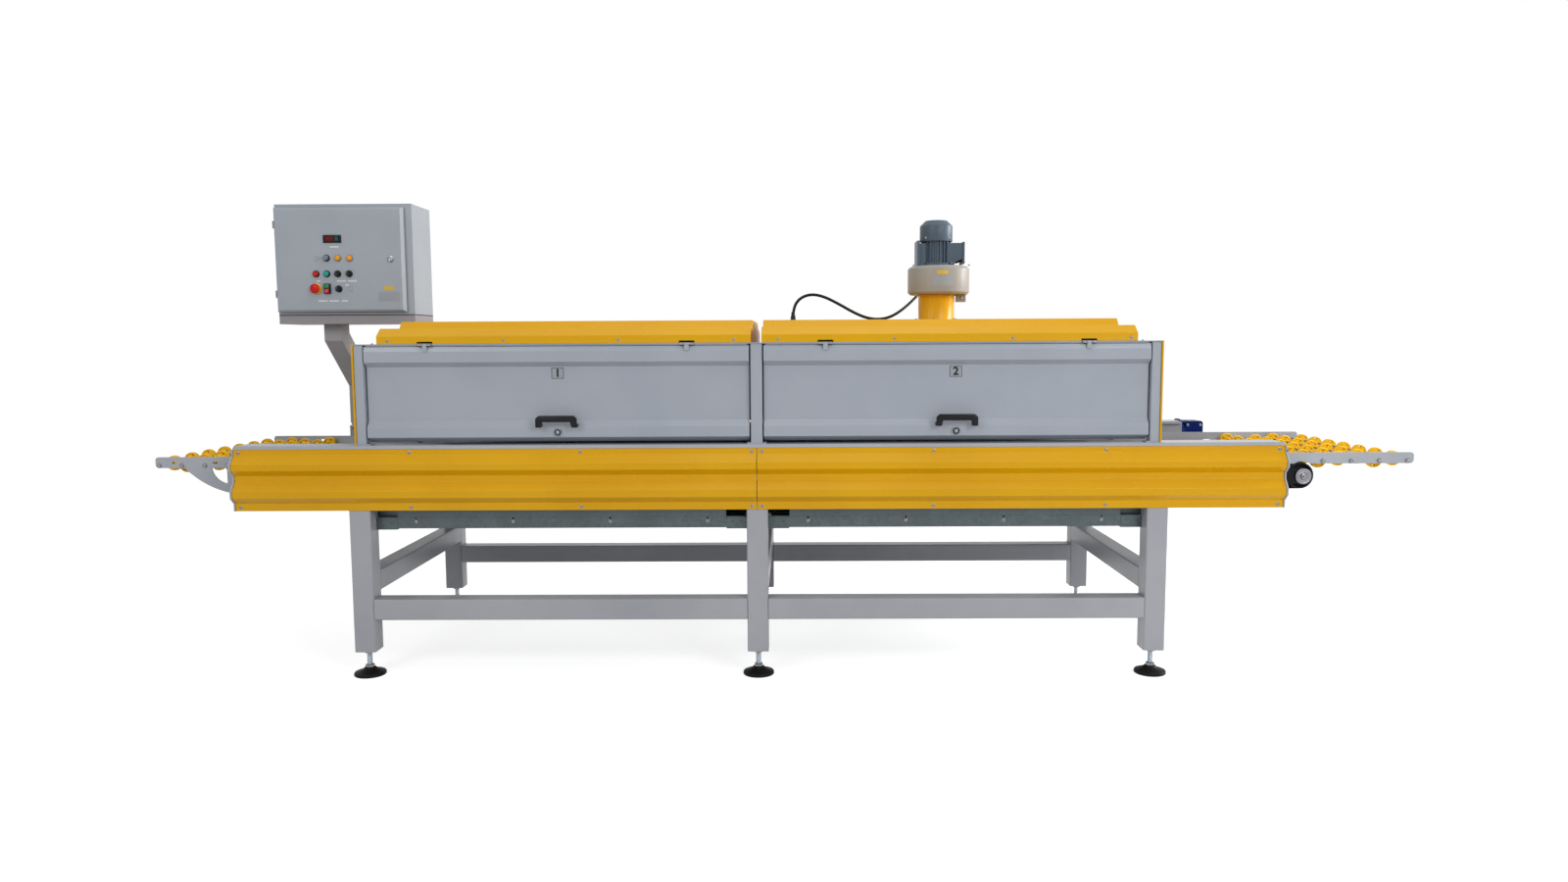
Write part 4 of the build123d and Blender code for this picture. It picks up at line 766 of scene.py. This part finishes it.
# The blower: a rolled yellow duct bolted to the roof, a round casing of cast aluminium in warm grey
# enamel with a small outlet under it, and a finned blue-grey motor standing on top.
# Enamel over castings: satin, a little duller and less even than on sheet.
casing_grey = enamel("warm_grey_enamel", "A09D99", "94918D", 0.42, shine=0.3)
motor_grey = enamel("blue_grey_enamel", "4A5B6B", "3F4D5A", 0.4, shine=0.3)
wear(orange_yellow, "blower_duct", edge=1.0)
wear(casing_grey, "blower_housing", edge=3.0)
wear(motor_grey, "blower_motor", edge=1.0)
duct_x, flange_bolts, flange_radius, flange_top = 742, 6, 91, 1360
outlet_bolt, casing_bolts = (844, -24, 1449), ((864, -90, 1579), (636, -90, 1579))
blower_spots = []
for index in range(flange_bolts):
    angle = math.radians(360 / flange_bolts * (index + 0.25))
    across, back = flange_radius * math.cos(angle), flange_radius * math.sin(angle)
    blower_spots.append((at(duct_x + across, back, flange_top), "up"))
blower_spots += [(at(*outlet_bolt), "front")] + [(at(*spot), "up") for spot in casing_bolts]
fit(copies(flanged_screw(9, 14, 5.0), blower_spots), "blower_bolts", zinc, "machine", "zinc")
motor_x, foot_screw, cowl_screw = 739, (40, -40, 1594), (48, -48, 1697)
lid_x, lid_screw_y, lid_screw_z = 852, (-40, 40), (1598, 1672)
motor_spots = [(at(motor_x + side * foot_screw[0], *foot_screw[1:]), "up") for side in (-1, 1)]
motor_spots += [(at(lid_x, y, z), "right") for y in lid_screw_y for z in lid_screw_z]
motor_spots += [(at(motor_x + side * cowl_screw[0], *cowl_screw[1:]), "front") for side in (-1, 1)]
fit(copies(flanged_screw(7, 10, 3.0), motor_spots), "motor_screws", zinc, "machine", "zinc")

# Stickers on the casing: bare vinyl film that follows its round side, a yellow strip over a pale
# plate, with nothing printed on them.
casing_x, casing_radius, film_gap, film_thick = 750, 128, 0.4, 0.3
# Yellow vinyl: the same satin film as on the doors, in a slightly faded yellow.
yellow_vinyl = moulded("yellow_satin_vinyl", "CFAF2B", "C5A524", 0.4, texture=0.05)


def round_sticker(wide, high, z):
    """A film laid on the casing's front: a fine grid whose points are wrapped round the cylinder."""
    bpy.ops.object.select_all(action="DESELECT")
    bpy.ops.mesh.primitive_grid_add(x_subdivisions=16, y_subdivisions=2, size=1, location=(0, 0, 0))
    film = bpy.context.object
    radius = casing_radius + film_gap
    for vertex in film.data.vertices:
        angle = vertex.co.x * wide / radius
        across, front = radius * math.sin(angle), -radius * math.cos(angle)
        vertex.co = at(casing_x + across, front, z + vertex.co.y * high)
    only(film)
    solid = film.modifiers.new("film", "SOLIDIFY")
    solid.thickness = film_thick * MM
    bpy.ops.object.modifier_apply(modifier="film")
    return film


fit(round_sticker(46, 16, 1551), "casing_sticker_strip", yellow_vinyl, "machine", "casing_grey")
fit(round_sticker(86, 40, 1517), "casing_sticker_plate", vinyl, "machine", "casing_grey")

# The control box: a sheet steel case and its plinth in light textured grey, carried by a bent
# square-tube arm in brownish grey that is bolted through a foot plate to the bed's top bar. A thin black
# strip between the case and the plinth is painted shadow, standing for the shade under the front frame's
# overhang.
# Textured powder coat: a fine hard grain that spreads every reflection into a satin grey.
box_grey = enamel("light_grey_textured_coat", "A3AAB3", "9CA3AD", 0.42, peel=0.6)
arm_grey = enamel("brownish_grey_enamel", "A6A4A7", "9B999D", 0.42)
wear(arm_grey, "control_arm", edge=2.5)
plinth_grey = enamel("mauve_grey_textured_coat", "989498", "908C91", 0.42, peel=0.6)
wear(box_grey, "control_enclosure", edge=1.0)
wear(plinth_grey, "control_plinth", edge=1.0)
wear(box_grey, "control_front_frame", edge=0.4)
wear(box_grey, "control_door", edge=1.2)
# Painted shadow: a thin black strip stands for the shade under the front frame's overhang.
front_shadow_strip, front_shadow_strip_place = (598, 3.5), (-1823, 163, 1397.5)
side_shadow_strip, side_shadow_strip_place = (228, 3.5), (-1523, 278, 1397.5)
shadow_strip = join([put(cut_out(oblong(*front_shadow_strip), 1.0), at(*front_shadow_strip_place), "front"),
             put(cut_out(oblong(*side_shadow_strip), 0.6), at(*side_shadow_strip_place), "right")])
fit(shadow_strip, "plinth_shadow_strip", black_nylon, "machine", "black_plastic")
arm_bolt_x, arm_bolt_y, foot_plate_top = -1878, (504, 550), 898
arm_spots = [(at(arm_bolt_x, y, foot_plate_top), "up") for y in arm_bolt_y]
fit(copies(flanged_screw(12, 18, 7.0), arm_spots), "arm_bolts", zinc, "machine", "zinc")

# Bezels on the box door: black nylon collars screwed into the sheet, flat ones round the knob and
# the selectors, and hollow guards round the two push buttons, which sink into them when pressed.
box_left, box_low = -2123, 1400
face = (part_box("control_door")[0].y - middle.y) / MM


def on_door(x, z, out=0.0):
    """A point on the box door, from millimetres right of and above the box's lower left corner."""
    return at(box_left + x, face - out, box_low + z)


knob_place, red_place, teal_place = (233, 243), (185, 175), (232, 175)
selector_places = ((280, 175), (330, 175), (282, 110))
bezel_rings = ((6.2, -0.4), (15, -0.4), (15, 3.6), (13.6, 5.4), (12.4, 6.0), (6.2, 6.0))
bezel_spots = [(on_door(*place), "front") for place in (knob_place, *selector_places)]
guard_rings = ((6.2, -0.4), (15, -0.4), (15, 3.6), (14.2, 5.4), (13.4, 6.0), (12.4, 6.0), (12.4, 0.8),
               (6.2, 0.8))
guard_spots = [(on_door(*place), "front") for place in (red_place, teal_place)]
bezels = [copies(turn(bezel_rings, hollow=True), bezel_spots),
          copies(turn(guard_rings, hollow=True), guard_spots)]
for part in bezels:
    only(part)
    bpy.ops.object.transform_apply(location=True, rotation=True, scale=True)
fit(join(bezels), "control_bezels", black_nylon, "control_door", "black_plastic", "control_fittings")

# Lamps, blank plugs and lock: amber polycarbonate domes in grey nylon rings, deep yellow when unlit,
# flat plugs in two unused holes, and a chromed cam lock, all snapped or screwed into the sheet.
lamp_places, plug_places, lock_place = ((283, 243), (334, 242)), ((189, 243), (333, 110)), (513, 237)
grey_nylon = moulded("moulded_grey_nylon", "777C82", "6C7177", 0.35)
amber = moulded("amber_polycarbonate", "EFA00C", "E29206", 0.16, texture=0.05, shine=0.3)
lamp_spots = [(on_door(*place), "front") for place in lamp_places]
ring = turn(((10, -0.4), (15, -0.4), (15, 3), (13.4, 4.6), (12.4, 4.6), (12.2, 3)), hollow=True)
fit(copies(ring, lamp_spots), "lamp_rings", grey_nylon, "control_door", "black_plastic")
lens = turn(((12.2, 1), (12.2, 7), (11.2, 9.6), (8.2, 11.4), (3.0, 12.0)))
fit(copies(lens, lamp_spots), "amber_lamps", amber, "control_door", "orange_yellow")
plug = turn(((12, -0.4), (12, 1.2), (11.2, 2.0), (8, 2.0), (7.6, 1.4), (2, 1.4)), sides=36)
light_nylon = moulded("moulded_light_grey_nylon", "9CA3AC", "949BA4", 0.35)
fit(copies(plug, [(on_door(*place), "front") for place in plug_places]), "blank_plugs", light_nylon,
    "control_door", "box_grey")
cam = turn(((14, -0.4), (14, 2.5), (12.6, 4.0), (10.5, 4.4), (10, 8), (8.8, 9), (7.6, 8.6), (7, 5.6),
            (2, 5.4)))
bar = cut_out(oblong(3.4, 12.6), 8.4, rounding=0.8)
fit(put(join([cam, bar]), on_door(*lock_place), "front"), "box_cam_lock", chrome, "control_door", "zinc")

# The display: a black polycarbonate window in a raised bezel, with dim red numerals on its left and
# small teal ones on its right.
display_place, case_size, case_deep = (262, 325), (78, 34), 5.0
window_size, window_thick = (70, 27), 0.4
shell = put(cut_out(oblong(*case_size), case_deep, rounding=1.2), on_door(*display_place), "front")
fit(shell, "display_case", black_nylon, "control_door", "black_plastic")
# Smoked polycarbonate is smooth and nearly black, and the unlit segments glow no more than paint.
window = moulded("smoked_polycarbonate", "060506", "0A0708", 0.2, texture=0.02, shine=0.1)
pane = put(cut_out(oblong(*window_size), window_thick), on_door(*display_place, case_deep), "front")
fit(pane, "display_window", window, "control_door", "black_plastic")
red_segments = moulded("dim_red_segments", "A81216", "8E1014", 0.4, texture=0.02, shine=0.1)
teal_segments = moulded("dim_teal_segments", "149088", "107A75", 0.4, texture=0.02, shine=0.1)
digit_wide, digit_high, stroke, digit_middles = 8.0, 15.0, 1.8, (-24, -12, 0)
mark_size, mark_x, mark_y = (4.5, 3.4), (16, 23), (-5.5, 0.5, 6.5)
segments = []
for x in digit_middles:
    for up in (-1, 0, 1):
        segments.append(cut_out(oblong(digit_wide, stroke, x, up * digit_high / 2), print_thick))
    for end, up in ((-1, -1), (-1, 1), (1, -1), (1, 1)):
        upright = oblong(stroke, digit_high / 2 - stroke, x + end * digit_wide / 2, up * digit_high / 4)
        segments.append(cut_out(upright, print_thick))
window_front = on_door(*display_place, case_deep + window_thick)
fit(put(join(segments), window_front, "front"), "display_numerals", red_segments, "control_door",
    "red_plastic")
marks = [cut_out(oblong(*mark_size, x, y), print_thick) for x in mark_x for y in mark_y]
fit(put(join(marks), window_front, "front"), "display_marks", teal_segments, "control_door", "teal_plastic")

# Double push switch: a black case with a green key over a red one, which has a white ring on it.
# The keys are glossy nylon, snapped into the case, which is clamped to the sheet from behind.
switch_place, switch_size, switch_deep = (233, 111), (28, 44), 12
start_key_size, stop_key_size, key_y, ring_out = (19, 16), (21, 18), 10.5, 15.9
green = moulded("moulded_green_nylon", "128A4A", "0E7A40", 0.3, shine=0.3)
red = moulded("moulded_red_nylon", "CE1610", "B8100C", 0.28, shine=0.2)
shell = cut_out(oblong(*switch_size), switch_deep, rounding=2.0)
fit(put(shell, on_door(*switch_place), "front"), "switch_case", black_nylon, "control_door", "black_plastic")
switch_front = on_door(*switch_place, switch_deep)
key = cut_out(oblong(*start_key_size, y=key_y), 3.2, rounding=1.2)
fit(put(key, switch_front, "front"), "switch_start_key", green, "control_door", "teal_plastic")
key = cut_out(oblong(*stop_key_size, y=-key_y), 4.0, rounding=1.2)
fit(put(key, switch_front, "front"), "switch_stop_key", red, "control_door", "red_plastic")
mark = turn(((3.2, 0), (5.0, 0), (5.0, 0.3), (3.2, 0.3)), sides=24, hollow=True)
fit(put(mark, on_door(switch_place[0], switch_place[1] - key_y, ring_out), "front"), "switch_stop_ring",
    vinyl, "control_door", "trim_grey")

# Push buttons, knob and selectors: each on a round stem through its bezel and the sheet. The mushroom
# stop button is red over a yellow collar; selectors and knob have a raised grip with a white mark.
teal = moulded("moulded_teal_nylon", "109A90", "0C8A81", 0.28, shine=0.3)
for name, place, material, slot in (("push_button_red", red_place, red, "red_plastic"),
                                    ("push_button_teal", teal_place, teal, "teal_plastic")):
    button = turn(((6, -9), (6, 6), (11.6, 7), (11.6, 10.2), (10.6, 11.6), (8, 12.0), (2, 11.6)))
    fit(put(button, on_door(*place), "front"), f"{name}_cap", material, name, slot, name)
stop_place = (183, 111)
collar = turn(((6.2, -0.4), (23, -0.4), (23, 3), (21, 5.4), (13, 6), (11.4, 6), (11.4, 0.6), (6.2, 0.6)),
              hollow=True)
fit(put(collar, on_door(*stop_place), "front"), "stop_collar", wheel_yellow, "control_door", "wheel_yellow")
mushroom = turn(((6, -9), (6, 6), (10.5, 7), (10.5, 12), (19.5, 14), (21, 16), (21, 18.2), (19, 20.6),
                 (14, 22.2), (7, 22.9), (2, 23)))
fit(put(mushroom, on_door(*stop_place), "front"), "stop_mushroom", red, "emergency_stop", "red_plastic",
    "emergency_stop")
pointer_turn, grip_base, grip_deep = math.radians(45), 10.5, 9.5
for index, place in enumerate(selector_places):
    body = f"selector_{index + 1}"
    head = turn(((6, -9), (6, 6), (12, 7), (12, 9.4), (11, 11)), sides=36)
    grip = cut_out(((-3, -11.5), (3, -11.5), (4.2, 0), (3, 11.5), (-3, 11.5), (-4.2, 0)), grip_deep,
                   rounding=1.2)
    mark = cut_out(oblong(1.6, 8, y=6.5), print_thick)
    for part, out in ((grip, grip_base), (mark, grip_base + grip_deep)):
        part.location = (0, 0, out * MM)
        part.rotation_euler = (0, 0, pointer_turn)
        only(part)
        bpy.ops.object.transform_apply(location=True, rotation=True, scale=True)
    fit(put(join([head, grip]), on_door(*place), "front"), f"{body}_knob", black_nylon, body,
        "black_plastic", body)
    fit(put(mark, on_door(*place), "front"), f"{body}_mark", vinyl, body, "trim_grey")
knob_out = 21
knob = turn(((6, -9), (6, 6), (12, 7), (12, 9), (11, 10), (10.4, 20), (9.4, knob_out), (2, knob_out)), sides=36)
fit(put(knob, on_door(*knob_place), "front"), "speed_knob_cap", grey_nylon, "speed_knob", "black_plastic",
    "speed_knob")
mark = put(cut_out(oblong(1.4, 7, y=5.5), print_thick), on_door(*knob_place, knob_out), "front")
fit(mark, "speed_knob_mark", vinyl, "speed_knob", "trim_grey")

# Bare label strips under the controls and two bare stickers low on the right: satin vinyl film with
# nothing printed on it.
label_high, label_thick = 6.5, 0.4
label_places = ((269, 291, 38), (194, 144, 16), (294, 144, 40), (342, 144, 40), (318, 127, 16),
                (210, 58, 40), (258, 58, 42), (305, 58, 28))
labels = [put(cut_out(oblong(wide, label_high), label_thick), on_door(x, z), "front")
          for x, z, wide in label_places]
white_vinyl = moulded("bright_white_vinyl", "D6DADF", "CBD0D6", 0.42, texture=0.05)
fit(join(labels), "control_labels", white_vinyl, "control_door", "trim_grey")
sticker_strip, strip_place, sticker_plate, plate_place = (46, 18), (500, 112), (92, 40), (500, 76)
sticker = put(cut_out(oblong(*sticker_strip), label_thick), on_door(*strip_place), "front")
fit(sticker, "door_sticker_strip", yellow_vinyl, "control_door", "wheel_yellow")
sticker = put(cut_out(oblong(*sticker_plate), label_thick), on_door(*plate_place), "front")
fit(sticker, "door_sticker_plate", vinyl, "control_door", "trim_grey")
